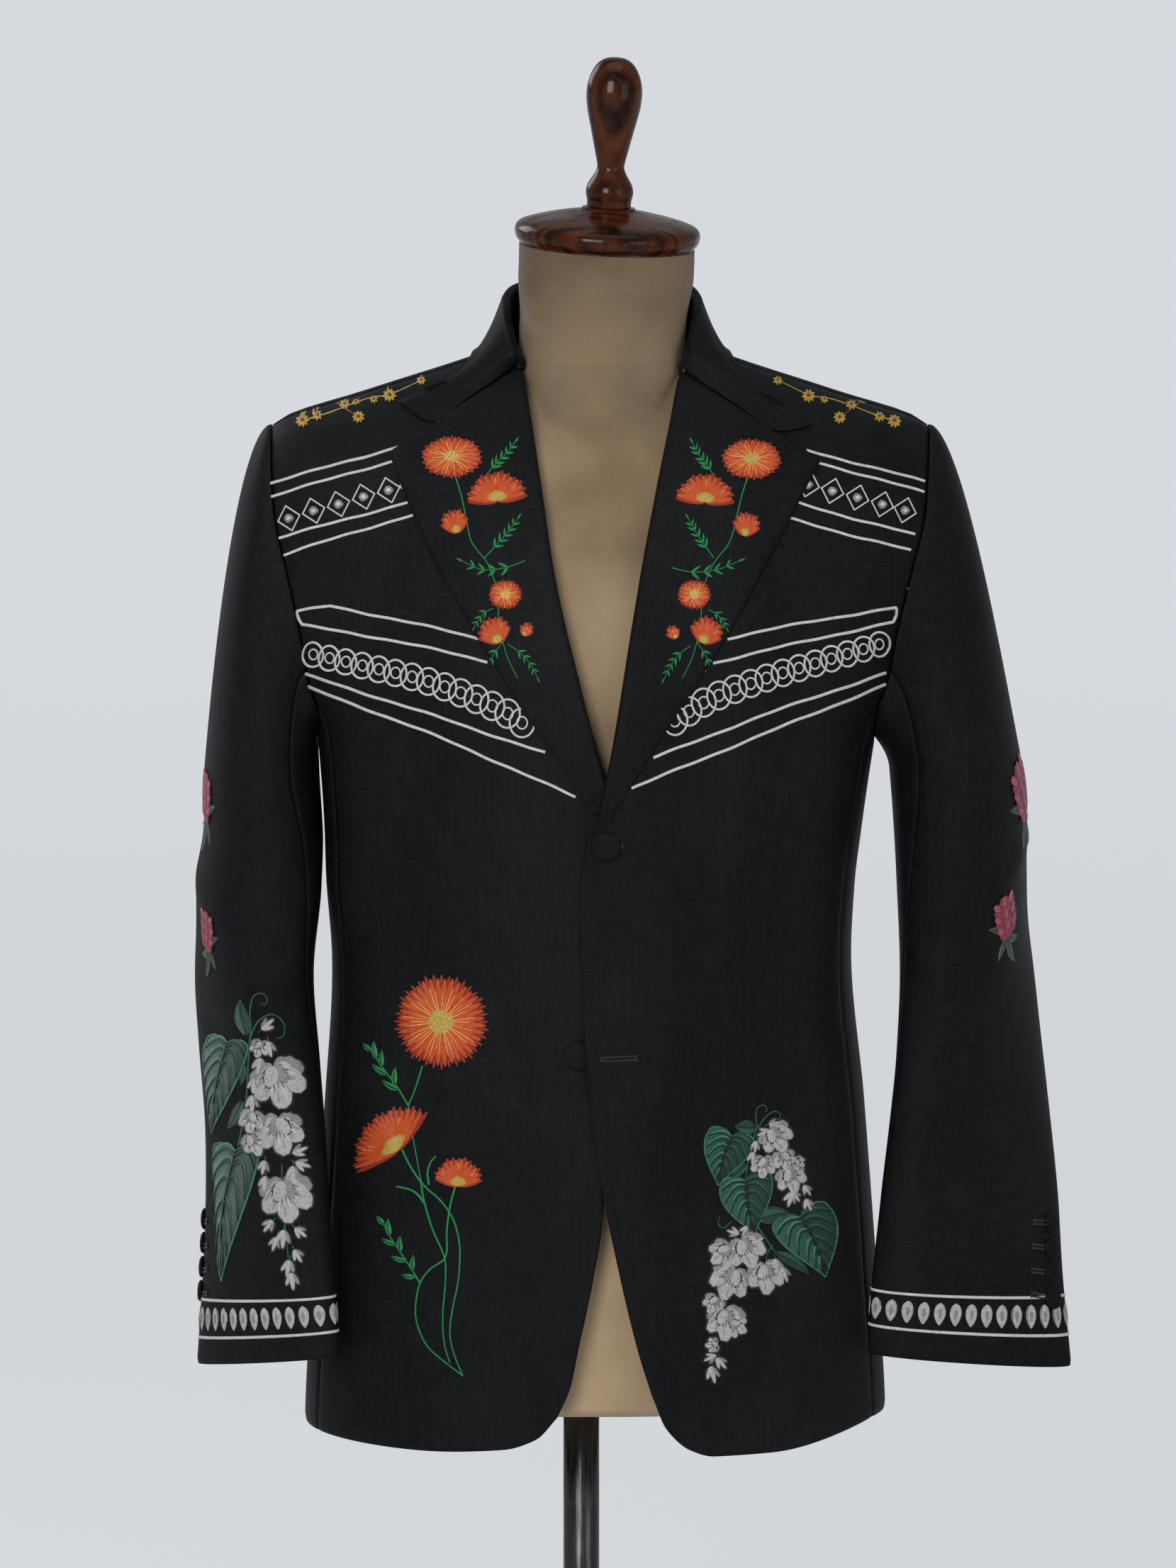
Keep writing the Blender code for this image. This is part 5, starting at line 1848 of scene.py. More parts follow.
@dataclass(frozen=True)
class Stroke:
    """A row of stitches: a line on the picture plane with its half width, in all or by point, in pixels.

    Its threads run across the line, or along it. Its base is how far it lies above the cloth.
    """

    line: Array
    half: Array | float
    thread: Thread
    rise: float = 0.0005
    base: Array | float = 0.0
    lengthwise: bool = False


class Layout(ABC):
    """A way to lay a flat drawing on cloth."""

    surface: Surface

    @abstractmethod
    def parameters(self, plane: Array) -> tuple[Array, Array]:
        """Where the drawing's points lie on the cloth."""


class FrontLayout(Layout):
    """The drawing is laid straight back from the front view."""

    def __init__(self, surface: Surface) -> None:
        """Keeps the cloth."""
        self.surface = surface

    def parameters(self, plane: Array) -> tuple[Array, Array]:
        """Where the front view's points lie on the cloth."""
        x, v = (plane[:, 0] - PICTURE_CENTRE) * PIXEL, PICTURE_TOP - PIXEL * plane[:, 1]
        return self.surface.seen_from_front(x, v)


class SleeveLayout(FrontLayout):
    """The front view's drawing on a sleeve: what would lie past the sleeve's outline is eased inside it."""

    REACH = 0.88

    def parameters(self, plane: Array) -> tuple[Array, Array]:
        """Where the points lie, after their share of the half width is eased towards 0.97.

        Args:
            plane: points of the drawing, in pixels.

        Returns:
            Both parameters of the surface.
        """
        heights = np.linspace(CUFF, CAP_FOOT, 80)
        rings = in_view(self.surface.points(*np.meshgrid(np.linspace(-30, 210, 121), heights)))
        up, low, high = rings[:, 60, 1], rings[..., 0].min(1), rings[..., 0].max(1)
        x, v = (plane[:, 0] - PICTURE_CENTRE) * PIXEL, PICTURE_TOP - PIXEL * plane[:, 1]
        middle, half = np.interp(v, up, (low + high) / 2), np.interp(v, up, (high - low) / 2)
        share = (x - middle) / half
        room = 0.97 - self.REACH
        over = np.maximum(np.abs(share) - self.REACH, 0)
        share = np.sign(share) * (np.minimum(np.abs(share), self.REACH) + room * (1 - np.exp(-over / room)))
        return self.surface.seen_from_front(middle + share * half, v)


class CuffLayout(Layout):
    """The drawing is wrapped round a sleeve: across is distance round it and down is down it."""

    def __init__(self, surface: SleeveSurface, height: float, turn: float = 0.0) -> None:
        """Measures the ring.

        Args:
            surface: the sleeve's surface.
            height: where the drawing's zero line lies.
            turn: the turn round the arm at which the drawing starts.
        """
        self.surface, self.height = surface, height
        self.turns = np.linspace(turn - 180, turn + 180, 361)
        run = run_along(surface.points(self.turns, height), 0) / PIXEL
        self.run, self.length = run - run[180], float(run[-1])

    def parameters(self, plane: Array) -> tuple[Array, Array]:
        """Turns and heights of the drawing's points."""
        across = (plane[:, 0] - self.run[0]) % self.length + self.run[0]
        return np.interp(across, self.run, self.turns), self.height - plane[:, 1] * PIXEL


def curve(points: str | Array | list[Array], spacing: float = 2.4) -> Array:
    """A smooth line through points, with even steps.

    Args:
        points: the given points, in pixels.
        spacing: the step between two points of the line.

    Returns:
        The line's points.
    """
    fine = smooth_rows(rows_of(points, 2), 12)
    run = run_along(fine, 0)
    at = np.linspace(0, run[-1], max(3, int(run[-1] / spacing)))
    return np.stack([np.interp(at, run, fine[:, k]) for k in (0, 1)], -1)


def arrow(turn: float) -> Array:
    """A unit direction in the picture: 0 points right and 90 up."""
    return np.array([math.cos(math.radians(turn)), -math.sin(math.radians(turn))])


def rope(points: str | Array | list[Array], half: float, thread: Thread, base: float = 0.0,
         taper: float = 0.0) -> Stroke:
    """A satin line of even width through points."""
    line = curve(points)
    return Stroke(line, half * (1 - taper * np.linspace(0, 1, len(line))), thread,
                  min(0.0006, half * 0.00022), base)


def petal(root: Array, turn: float, length: float, width: float, thread: Thread, blunt: float = 0.5,
          base: float = 0.0, bend: float = 0.0, rise: float = 0.0006, ruffle: float = 0.0) -> Stroke:
    """A petal or leaf: its half width swells by a sine whose exponents set how blunt its tip is.

    Args:
        root: where it starts.
        turn: its direction.
        length: its length.
        width: its full width.
        thread: its thread.
        blunt: 1 for a pointed tip and less for a rounder one.
        base: its height above the cloth.
        bend: how far its middle bows aside, as a share of its length.
        rise: how far it stands up in its middle.
        ruffle: the share by which its width waves.

    Returns:
        The stroke.
    """
    t = np.linspace(0, 1, max(6, int(length / 2.6)))
    way, aside = arrow(turn), arrow(turn + 90)
    line = root + length * (t[:, None] * way + bend * np.sin(math.pi * t)[:, None] * aside)
    shape = np.sin(math.pi * np.clip(t**0.8, 0.015, 0.985)) ** blunt * (1 + ruffle * np.sin(19 * t + turn))
    return Stroke(line, width / 2 * shape, thread, rise, base, True)


def fan(root: Array, turn: float, spread: float, count: int, length: float, width: float, thread: Thread,
        blunt: float = 0.45, base: float = 0.0, flat: float = 0.0) -> list[Stroke]:
    """Petals that spread from one point.

    Args:
        root: where they start.
        turn: the middle one's direction.
        spread: the angle from the first one to the last.
        count: how many there are.
        length: their length.
        width: their width.
        thread: their thread.
        blunt: how round their tips are.
        base: their height above the cloth.
        flat: how much shorter the outer ones are.

    Returns:
        The strokes.
    """
    made = []
    for number, share in enumerate(np.linspace(-0.5, 0.5, count)):
        long = length * (1 - flat * (2 * share) ** 2) * (0.97 + 0.06 * (number * 7 % 3) / 2)
        made.append(petal(root, turn + spread * share, long, width, thread, blunt,
                          base + 0.00006 * (number % 2)))
    return made


@dataclass(frozen=True)
class Motif(ABC):
    """A drawing of stitches at a place in the picture."""

    @abstractmethod
    def strokes(self) -> list[Stroke]:
        """The rows of stitches, from the lowest up."""


@dataclass(frozen=True)
class Daisy(Motif):
    """A many-petalled flower from above: two rings of close petals, gold rays and a knotted heart."""

    centre: tuple[float, float]
    radius: float
    count: int = 26
    squash: float = 1.0
    turn: float = 0.0
    heart: float = 0.27

    def strokes(self) -> list[Stroke]:
        """The rows of stitches.

        Returns:
            The strokes.
        """
        made = []
        centre, size = np.array(self.centre), self.radius * self.heart
        wide = 2 * math.pi * self.radius / self.count
        rings = ((FLAME, 1.0, 0.98, 0.0), (ORANGE, 0.93, 0.86, 0.0003))
        for ring, (thread, reach, width, lift) in enumerate(rings):
            for k in range(self.count):
                way = arrow(360 / self.count * (k + ring / 2) + self.turn) * [1, self.squash]
                long = self.radius * (reach * (0.98 + 0.04 * (k * 5 % 4) / 3) - self.heart * 0.6)
                aim = math.degrees(math.atan2(-way[1], way[0]))
                made.append(petal(centre + way * size * 0.6, aim, long * np.linalg.norm(way), wide * width,
                                  thread, 0.62, lift + 0.00005 * (k % 2)))
        for k in range(int(self.count * 1.3)):
            way = arrow(360 / int(self.count * 1.3) * k + self.turn) * [1, self.squash]
            reach = 0.60 + 0.22 * (k * 7 % 5) / 4
            made.append(rope(centre + np.outer([self.heart * 0.8, 0.45, reach], way) * self.radius, 1.0,
                             STRAW, 0.0007, 0.6))
        made.append(petal(centre - [size, 0], 0, 2 * size, 2 * size * self.squash, YELLOW, 0.5, 0.0007, 0,
                          0.0008))
        for k in range(13):
            spot = centre + arrow(137.5 * k) * [1, self.squash] * size * 0.88 * math.sqrt((k + 0.5) / 13)
            made.append(petal(spot - [1.5, 0], 0, 3.0, 3.0, STRAW, 0.5, 0.0013, 0, 0.0006))
        return made


@dataclass(frozen=True)
class SideDaisy(Motif):
    """A daisy seen from the side: a fan of petals with gold rays over a yellow cup."""

    root: tuple[float, float]
    length: float
    turn: float
    spread: float = 120.0
    count: int = 11
    flat: float = 0.25

    def strokes(self) -> list[Stroke]:
        """The rows of stitches.

        Returns:
            The strokes.
        """
        root = np.array(self.root)
        wide = self.length * math.radians(self.spread) / self.count
        made = fan(root, self.turn, self.spread, self.count, self.length, wide * 1.25, FLAME, 0.42, 0.0,
                   self.flat)
        made += fan(root, self.turn, self.spread * 0.93, self.count - 1, self.length * 0.93, wide * 1.05,
                    ORANGE, 0.42, 0.0003, self.flat)
        for number, share in enumerate(np.linspace(-0.46, 0.46, self.count + 2)):
            long = self.length * (1 - self.flat * (2 * share) ** 2) * (0.62 + 0.2 * (number * 7 % 5) / 4)
            way = arrow(self.turn + self.spread * share)
            made.append(rope(root + np.outer([0.2, 0.6, 1.0], way) * long, 1.0, STRAW, 0.0006, 0.6))
        made += fan(root, self.turn, self.spread * 0.85, max(4, self.count - 3), self.length * 0.36,
                    wide * 0.55, YELLOW, 0.5, 0.0007, self.flat)
        return made


@dataclass(frozen=True)
class Stem(Motif):
    """A thin stem through points."""

    points: str
    half: float = 1.3
    thread: Thread = GREEN

    def strokes(self) -> list[Stroke]:
        """The rows of stitches."""
        return [rope(self.points, self.half, self.thread, 0.0, 0.35)]


@dataclass(frozen=True)
class Sprig(Motif):
    """A stem with pairs of small pointed leaves and one at its tip."""

    points: str
    pairs: int = 3
    leaf: float = 16.0
    half: float = 1.2
    thread: Thread = GREEN
    angle: float = 38.0

    def strokes(self) -> list[Stroke]:
        """The rows of stitches.

        Returns:
            The strokes.
        """
        made = [rope(self.points, self.half, self.thread, 0.0, 0.3)]
        line = made[0].line
        for k in range(self.pairs + 1):
            at = int((len(line) - 2) * (0.30 + 0.70 * k / self.pairs))
            way = line[min(at + 1, len(line) - 1)] - line[at]
            aim = math.degrees(math.atan2(-way[1], way[0]))
            size = self.leaf * (1.0 - 0.3 * k / self.pairs)
            turns = (aim,) if k == self.pairs else (aim + self.angle, aim - self.angle)
            made += [petal(line[at], turn, size, size * 0.27, self.thread, 0.8, 0.0002) for turn in turns]
        return made


@dataclass(frozen=True)
class HeartLeaf(Motif):
    """A heart-shaped leaf with curved dark veins, paler between them, and a stitched outline.

    Above its root each lobe is a round arch. Below it the half width is a parabola times what is left
    to the tip.
    """

    root: tuple[float, float]
    tip: tuple[float, float]
    width: float
    bend: float = 0.04

    def strokes(self) -> list[Stroke]:
        """The rows of stitches.

        Returns:
            The strokes.
        """
        root, axis = np.array(self.root, float), np.subtract(self.tip, self.root)
        length = float(np.linalg.norm(axis))
        way, aside = axis / length, np.array([-axis[1], axis[0]]) / length
        lobe = 0.11 * self.width / length + 0.02
        t = np.concatenate([-lobe * np.cos(np.linspace(0.1, math.pi / 2, 7)),
                            np.linspace(0.03, 1, int(length / 2.5))])
        arch = np.sqrt(np.clip(1 - (np.minimum(t, 0) / lobe) ** 2, 0, 1))
        below = np.maximum(t, 0)
        inner = 0.48 * (1 - arch) * (t < 0)
        outer = np.where(t < 0, 0.48 + 0.45 * arch, np.maximum(1 - below, 0.004) ** 1.15
                         * (0.93 + 1.55 * below - 0.5 * below**2))

        def place(along: Array, across: Array) -> Array:
            """Points on the picture."""
            bow = self.bend * length * np.sin(math.pi * np.clip(along, 0, 1))
            return root + np.outer(along * length, way) + np.outer(across * self.width / 2 + bow, aside)

        made = []
        for sign in (1, -1):
            half = (outer - inner) * self.width / 4
            made.append(Stroke(place(t, sign * (outer + inner) / 2), half, FOLIAGE if sign > 0 else LEAF,
                               0.0006))
            made.append(Stroke(place(t, sign * outer), 1.0, MINT, 0.0004, 0.0003))
            for start, end in ((0.02, 0.10), (0.10, 0.34), (0.24, 0.52), (0.38, 0.68), (0.54, 0.81),
                               (0.70, 0.92)):
                share = np.linspace(0, 1, 9)
                along = start + (end - start) * share**2.2 - 0.06 * np.sin(math.pi * share) * (end < 0.6)
                across = np.interp(end, t, outer) * 0.93 * share
                made.append(Stroke(place(along - 0.035, sign * across),
                                   1.9 * np.sin(math.pi * share * 0.9 + 0.2) + 0.3,
                                   MINT if sign > 0 else FOLIAGE, 0.0003, 0.0006))
                made.append(Stroke(place(along, sign * across), 1.6 - 0.8 * share, NIGHT, 0.0003, 0.0009))
        made.append(Stroke(place(np.linspace(0.0, 0.97, 20), np.zeros(20)), 1.3, NIGHT, 0.0003, 0.0010))
        return made


@dataclass(frozen=True)
class Blade(Motif):
    """A small leaf with a dark midrib and a paler side."""

    root: tuple[float, float]
    tip: tuple[float, float]
    width: float
    threads: tuple[Thread, Thread] = (LEAF, FOLIAGE)
    bend: float = 0.06

    def strokes(self) -> list[Stroke]:
        """The rows of stitches.

        Returns:
            The strokes.
        """
        axis = np.subtract(self.tip, self.root)
        length, turn = float(np.linalg.norm(axis)), math.degrees(math.atan2(-axis[1], axis[0]))
        root, aside = np.array(self.root, float), arrow(turn + 90) * self.width * 0.16
        return [
            petal(root, turn, length, self.width, self.threads[0], 0.8, 0.0, self.bend),
            petal(root + aside, turn, length * 0.86, self.width * 0.36, self.threads[1], 0.8, 0.0005,
                  self.bend, 0.0003),
            petal(root, turn, length * 0.94, 1.6, NIGHT, 0.5, 0.0007, self.bend, 0.0003),
        ]


def edged(root: Array, turn: float, length: float, width: float, thread: Thread, base: float,
          bend: float = 0.0) -> list[Stroke]:
    """A petal with a dark rim under it.

    Args:
        root: where it starts.
        turn: its direction.
        length: its length.
        width: its width.
        thread: its thread.
        base: its height above the cloth.
        bend: how far its middle bows aside.

    Returns:
        The rim's stroke and the petal's.
    """
    ruffle = 0.07 if width > 14 else 0.0
    return [petal(root, turn, length + 2.4, width + 5.0, SOOT, 0.36, base, bend, 0.0003, ruffle),
            petal(root, turn, length, width, thread, 0.36, base + 0.0002, bend, 0.0007, ruffle)]


@dataclass(frozen=True)
class Bell(Motif):
    """A white pea-like blossom: a broad ruffled petal behind, two before it, shaded towards their root."""

    centre: tuple[float, float]
    size: float
    turn: float = -90.0
    mirrored: bool = False

    def strokes(self) -> list[Stroke]:
        """The rows of stitches.

        Returns:
            The strokes.
        """
        centre, sign = np.array(self.centre, float), -1 if self.mirrored else 1
        root = centre - arrow(self.turn) * self.size * 0.42
        made = []
        for aim, long, wide, thread, lift in (
            (72, 0.59, 0.44, SILVER, 0.0), (-68, 0.55, 0.42, SILVER, 0.0001),
            (40, 0.76, 0.49, PEARL, 0.0003),
            (-36, 0.74, 0.49, PEARL, 0.0004), (2, 0.86, 0.54, PEARL, 0.0006),
            (28, 0.42, 0.30, SILVER, 0.0009),
            (-24, 0.42, 0.32, PEARL, 0.0011),
        ):
            made += edged(root, self.turn + sign * aim, self.size * long, self.size * wide, thread, lift,
                          0.05 * sign)
        for k, aim in enumerate(range(-66, 69, 6)):
            way, size = self.turn + sign * aim, self.size * (0.94 - abs(aim) / 180)
            made.append(petal(root + arrow(way) * size * (0.20, 0.46, 0.32, 0.52)[k % 4], way,
                              size * (0.32, 0.24, 0.28)[k % 3], 1.7, (ASH, WHITE, ASH, SILVER)[k % 4], 0.6,
                              0.0014, 0.0, 0.0003))
        return made


@dataclass(frozen=True)
class Bud(Motif):
    """A small white bud of three pointed petals on a short stalk."""

    root: tuple[float, float]
    size: float
    turn: float = -90.0

    def strokes(self) -> list[Stroke]:
        """The rows of stitches.

        Returns:
            The strokes.
        """
        root = np.array(self.root, float) - arrow(self.turn) * self.size * 0.5
        made = [petal(root - arrow(self.turn) * self.size * 0.4, self.turn, self.size * 0.6, 1.8, FOLIAGE,
                      0.7)]
        for aim, thread, lift in ((30, SILVER, 0.0001), (-28, PEARL, 0.0002), (2, PEARL, 0.0004)):
            made += edged(root, self.turn + aim, self.size * (1 - abs(aim) / 120), self.size * 0.30,
                          thread, lift)
        return made


@dataclass(frozen=True)
class Clover(Motif):
    """An oval pink head of short petals in rows, over dark pale-edged leaves."""

    centre: tuple[float, float]
    size: float
    turn: float = 90.0

    def strokes(self) -> list[Stroke]:
        """The rows of stitches.

        Returns:
            The strokes.
        """
        centre = np.array(self.centre, float)
        way, aside = arrow(self.turn), arrow(self.turn + 90)
        root = centre - way * self.size * 0.8
        made = []
        for aim, long in ((168, 1.15), (-126, 0.80), (122, 0.75), (48, 1.00), (-44, 1.20)):
            for share, thread, base in ((1.0, SAGE, 0.0), (0.66, MOSS, 0.0003)):
                made.append(petal(root, self.turn + aim, self.size * long * (0.9 + 0.1 * share),
                                  self.size * 0.30 * share, thread, 0.8, base, 0.08))
        made.append(petal(root, self.turn, self.size * 1.6, self.size * 0.92, PINK, 0.5, 0.0005))
        for row in range(6):
            up = 1.18 - 0.22 * row
            half = 0.40 * math.sin(math.pi * (0.16 + 0.50 * up)) ** 0.5
            for across in np.linspace(-1, 1, 4 if row % 2 else 3):
                start = root + self.size * (up * way + 0.8 * half * across * aside)
                made.append(petal(start, self.turn + 26 * across, self.size * 0.40, self.size * 0.22,
                                  (ROSE, PINK)[(row + int(2 * across)) % 2], 0.45, 0.0008 + 0.00006 * row))
        return made


@dataclass(frozen=True)
class Star(Motif):
    """A small yellow blossom of pointed petals with a red eye."""

    centre: tuple[float, float]
    radius: float
    turn: float = 90.0
    count: int = 7

    def strokes(self) -> list[Stroke]:
        """The rows of stitches.

        Returns:
            The strokes.
        """
        centre = np.array(self.centre, float)
        made = [petal(centre, self.turn + 360 / self.count * k, self.radius, self.radius * 0.55, GOLD, 0.7,
                      0.00005 * (k % 2)) for k in range(self.count)]
        eye = self.radius * 0.28
        made.append(petal(centre - [eye, 0], 0, 2 * eye, 2 * eye, RED, 0.5, 0.0007))
        return made


@dataclass(frozen=True)
class Lines(Motif):
    """White satin lines."""

    lines: tuple[str, ...]
    half: float = 2.1

    def strokes(self) -> list[Stroke]:
        """The rows of stitches, a little wavy as a guided hand leaves them.

        Returns:
            One stroke for each line.
        """
        made = []
        for points in self.lines:
            line = curve(points)
            wave = 0.9 * np.sin(line[:, :1] / 26.0) + 0.4 * np.sin(line[:, :1] / 9.0)
            made.append(Stroke(line + wave * [0, 1], self.half, WHITE, 0.0005))
        return made


@dataclass(frozen=True)
class Rings(Motif):
    """A row of interlaced rings: each one passes over its neighbour above and under it below."""

    path: str
    radius: tuple[float, float]
    pitch: float

    def strokes(self) -> list[Stroke]:
        """The rows of stitches.

        Returns:
            Two strokes for each ring.
        """
        line = curve(self.path, self.pitch)
        made = []
        turn = np.linspace(0, 2 * math.pi, 42)
        for number, centre in enumerate(line):
            size = self.radius[0] + (self.radius[1] - self.radius[0]) * number / (len(line) - 1)
            over = 0.0005 * (1 + np.sin(2 * turn))
            for reach, half in ((1.0, 1.5), (0.42, 1.2)):
                loop = centre + size * reach * np.stack([np.cos(turn) * 0.86, -np.sin(turn)], -1)
                base = over if reach == 1.0 else 0.0
                made.append(Stroke(loop, half, WHITE, 0.0004, base))
        return made


@dataclass(frozen=True)
class Diamonds(Motif):
    """A row of outlined diamonds, each with a filled round centre."""

    centres: str
    size: float
    turn: float

    def strokes(self) -> list[Stroke]:
        """The rows of stitches.

        Returns:
            The strokes.
        """
        made = []
        for centre in rows_of(self.centres, 2):
            ends = [centre + arrow(self.turn + 90 * k) * self.size * (1.0, 1.12)[k % 2] for k in range(5)]
            for start, end in zip(ends[:-1], ends[1:]):
                line = start + (end - start) * np.linspace(-0.02, 1.02, 16)[:, None]
                made.append(Stroke(line, 1.1, WHITE, 0.0003))
            spot = self.size * 0.42
            made.append(petal(centre - [spot, 0], 0, 2 * spot, 2 * spot, SILVER, 0.5, 0.0, 0, 0.0007))
            made.append(petal(centre - [spot * 0.5, 0], 0, spot, spot, WHITE, 0.5, 0.0006, 0, 0.0004))
        return made


@dataclass(frozen=True)
class CuffRow(Motif):
    """Two white lines round the cuff with a row of filled lozenges between them."""

    length: float
    apart: float = 26.0
    pitch: float = 23.0

    def strokes(self) -> list[Stroke]:
        """The rows of stitches.

        Returns:
            The strokes.
        """
        around = np.linspace(0, self.length - 1e-3, 260)
        made = [Stroke(np.stack([around, np.full(260, sign * self.apart)], -1), 2.2, WHITE, 0.0005)
                for sign in (1, -1)]
        count = int(self.length / self.pitch)
        for k in range(count):
            centre = np.array([(k + 0.5) * self.length / count, 0.0])
            made.append(petal(centre - [0, 16], -90, 32, 18.0, PEARL, 0.62, 0.0, 0.0, 0.0006))
            made.append(petal(centre - [0, 8], -90, 16, 6.0, SILVER, 0.62, 0.0005, 0.0, 0.0004))
        return made


@dataclass(frozen=True)
class Buttonhole(Motif):
    """A worked buttonhole: two dark rows with an eye at one end and a bar at the other."""

    start: tuple[float, float]
    end: tuple[float, float]
    half: float = 1.7

    def strokes(self) -> list[Stroke]:
        """The rows of stitches.

        Returns:
            The strokes.
        """
        start, end = np.array(self.start, float), np.array(self.end, float)
        way = unit(end - start)
        aside = np.array([-way[1], way[0]]) * self.half * 1.5
        turn = np.linspace(0, 2 * math.pi, 14)
        eye = start + np.stack([np.cos(turn), np.sin(turn)], -1) * self.half * 1.2
        made = [rope([start + sign * aside, (start + end) / 2 + sign * aside, end + sign * aside],
                     self.half, BUTTONHOLE, 0.0003) for sign in (1, -1)]
        made.append(Stroke(eye, self.half, BUTTONHOLE, 0.0006, 0.0003))
        made.append(rope([end - aside * 2, end, end + aside * 2], self.half * 0.9, BUTTONHOLE, 0.0004))
        return made


class Embroidery:
    """The stitches on one piece of cloth, in one mesh."""

    ACROSS = np.array([-1.0, -0.86, -0.5, 0.0, 0.5, 0.86, 1.0])

    def __init__(self, name: str, layout: Layout, motifs: list[Motif]) -> None:
        """Keeps the drawing."""
        self.name, self.layout, self.motifs = name, layout, motifs

    def ribbon(self, stroke: Stroke) -> tuple[Array, Array, Array]:
        """A stroke's points on the plane, their heights, and the thread's own coordinates.

        Args:
            stroke: the stroke.

        Returns:
            Points by row and column, heights above the cloth, and distances in metres.
        """
        line = stroke.line
        half = np.broadcast_to(np.asarray(stroke.half, float), len(line))
        way = unit(np.gradient(line, axis=0))
        aside = np.stack([-way[:, 1], way[:, 0]], -1)
        plane = line[:, None] + aside[:, None] * (half[:, None] * self.ACROSS)[..., None]
        dome = np.sqrt(np.clip(1 - self.ACROSS**2, 0, 1)) * stroke.rise
        dome = dome + (np.abs(self.ACROSS) < 1) * 0.00008
        full = np.clip(half / max(half.max(), 1e-9) * 1.8, 0.15, 1)
        base = np.broadcast_to(np.asarray(stroke.base, float), half.shape)[:, None]
        height = base + dome * full[:, None] - (np.abs(self.ACROSS) == 1) * 0.00025
        along = np.repeat(run_along(line, 0)[:, None], len(self.ACROSS), 1) * PIXEL
        across = half[:, None] * self.ACROSS * PIXEL
        return plane, height, np.stack((across, along) if stroke.lengthwise else (along, across), -1)

    def build(self) -> bpy.types.Object:
        """Lays all the strokes at once and makes the piece.

        Returns:
            The piece.
        """
        strokes = [stroke for motif in self.motifs for stroke in motif.strokes()]
        ribbons = [self.ribbon(stroke) for stroke in strokes]
        plane = np.concatenate([r[0].reshape(-1, 2) for r in ribbons])
        height = np.concatenate([r[1].ravel() for r in ribbons])
        uv = np.concatenate([r[2].reshape(-1, 2) for r in ribbons])
        a, b = self.layout.parameters(plane)
        surface = self.layout.surface
        points = surface.points(a, b) + surface.normals(a, b) * height[:, None]
        quads, start, slots = [], 0, []
        threads = list(dict.fromkeys(stroke.thread for stroke in strokes))
        for stroke, ribbon in zip(strokes, ribbons):
            rows, columns = ribbon[0].shape[:2]
            quads.append(quads_of(rows, columns) + start)
            slots.append(np.full(len(quads[-1]), threads.index(stroke.thread), np.int32))
            start += rows * columns
        faces = np.concatenate(quads)
        middle = points[faces].mean(1)
        turned = np.cross(points[faces[:, 2]] - points[faces[:, 0]],
                          points[faces[:, 3]] - points[faces[:, 1]])
        inward = (turned * (middle - surface.within(middle))).sum(-1) < 0
        faces[inward] = faces[inward, ::-1]
        made = new_mesh(self.name, points, faces, uv)
        for thread in threads:
            made.data.materials.append(thread.material())
        made.data.polygons.foreach_set("material_index", np.concatenate(slots))
        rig.ride(made, ROOT)
        return made


RIGHT_FRONT_MOTIFS = [
    Lines(("383 686 480 660 577 633", "387 704 480 678 577 651", "398 762 490 738 590 711", "405 786 "
           "495 758 590 731", "470 858 580 881 682 905", "430 884 560 907 690 936", "434 953 600 1006 "
           "770 1063", "435 970 620 1040 812 1124", "423 865 448 861 470 858", "423 865 425 875 430 "
           "884")),
    Diamonds("412 735 447 725 482 716 517 706 552 697 583 688", 16, 15),
    Rings("446 925 520 942 610 964 700 999 738 1021", (17, 20), 21),
    Stem("430 597 462 588 492 577 522 566 552 562", 1.0, GOLD),
    Stem("472 566 486 578 498 586 510 592", 1.0, RED), Stem("552 562 575 551 596 541", 0.9, GOLD),
    Star((430, 597), 10, 80, 9), Star((451, 590), 8, 110), Star((509, 593), 9, 60, 9),
    Star((489, 574), 8, 95), Star((471, 566), 6, 30), Star((552, 562), 10, 70, 9),
    Star((530, 568), 6, 20), Star((596, 541), 7, 100),
    Stem("578 1556 562 1530 545 1508 531 1488 521 1474", 1.3), Blade((525, 1480), (514, 1470), 8, SPRING),
    Blade((533, 1491), (529, 1467), 9, SPRING), Blade((541, 1503), (541, 1479), 8, SPRING),
    Blade((548, 1513), (527, 1499), 9, SPRING), Blade((559, 1528), (560, 1503), 9, SPRING),
    Blade((564, 1534), (541, 1521), 9, SPRING),
    Stem("598 1500 592 1520 585 1540 579 1556 580 1580 584 1598 590 1630 595 1658"),
    Stem("569 1618 580 1640 593 1660 606 1674 620 1686 633 1702 644 1724 650 1756 648 1800 640 1840 636 "
         "1876 642 1906 654 1935", 1.5),
    Stem("595 1658 600 1690 612 1730 628 1768 630 1800 626 1850 628 1890 636 1918", 1.5),
    Stem("645 1666 637 1694 632 1730 630 1768 608 1786 594 1806 588 1836 590 1864 604 1894 628 1916 655 "
         "1936", 1.5),
    Stem("607 1667 605 1650 609 1636 617 1626", 1.8), Stem("602 1696 592 1682 580 1674 561 1670", 1.8),
    Stem("594 1806 582 1786 566 1762 550 1738 540 1716", 1.3), Blade((544, 1724), (533, 1712), 8, SPRING),
    Blade((552, 1740), (549, 1716), 9, SPRING), Blade((560, 1752), (540, 1744), 8, SPRING),
    Blade((567, 1763), (566, 1740), 9, SPRING), Blade((575, 1775), (553, 1768), 8, SPRING),
    Blade((584, 1789), (585, 1766), 8, SPRING), Blade((588, 1797), (568, 1794), 8, SPRING),
    Daisy((625, 1438), 66, 36), SideDaisy((564, 1619), 57, 131, 156, 19, -0.22),
    SideDaisy((648, 1668), 40, 88, 150, 13, 0.12),
]
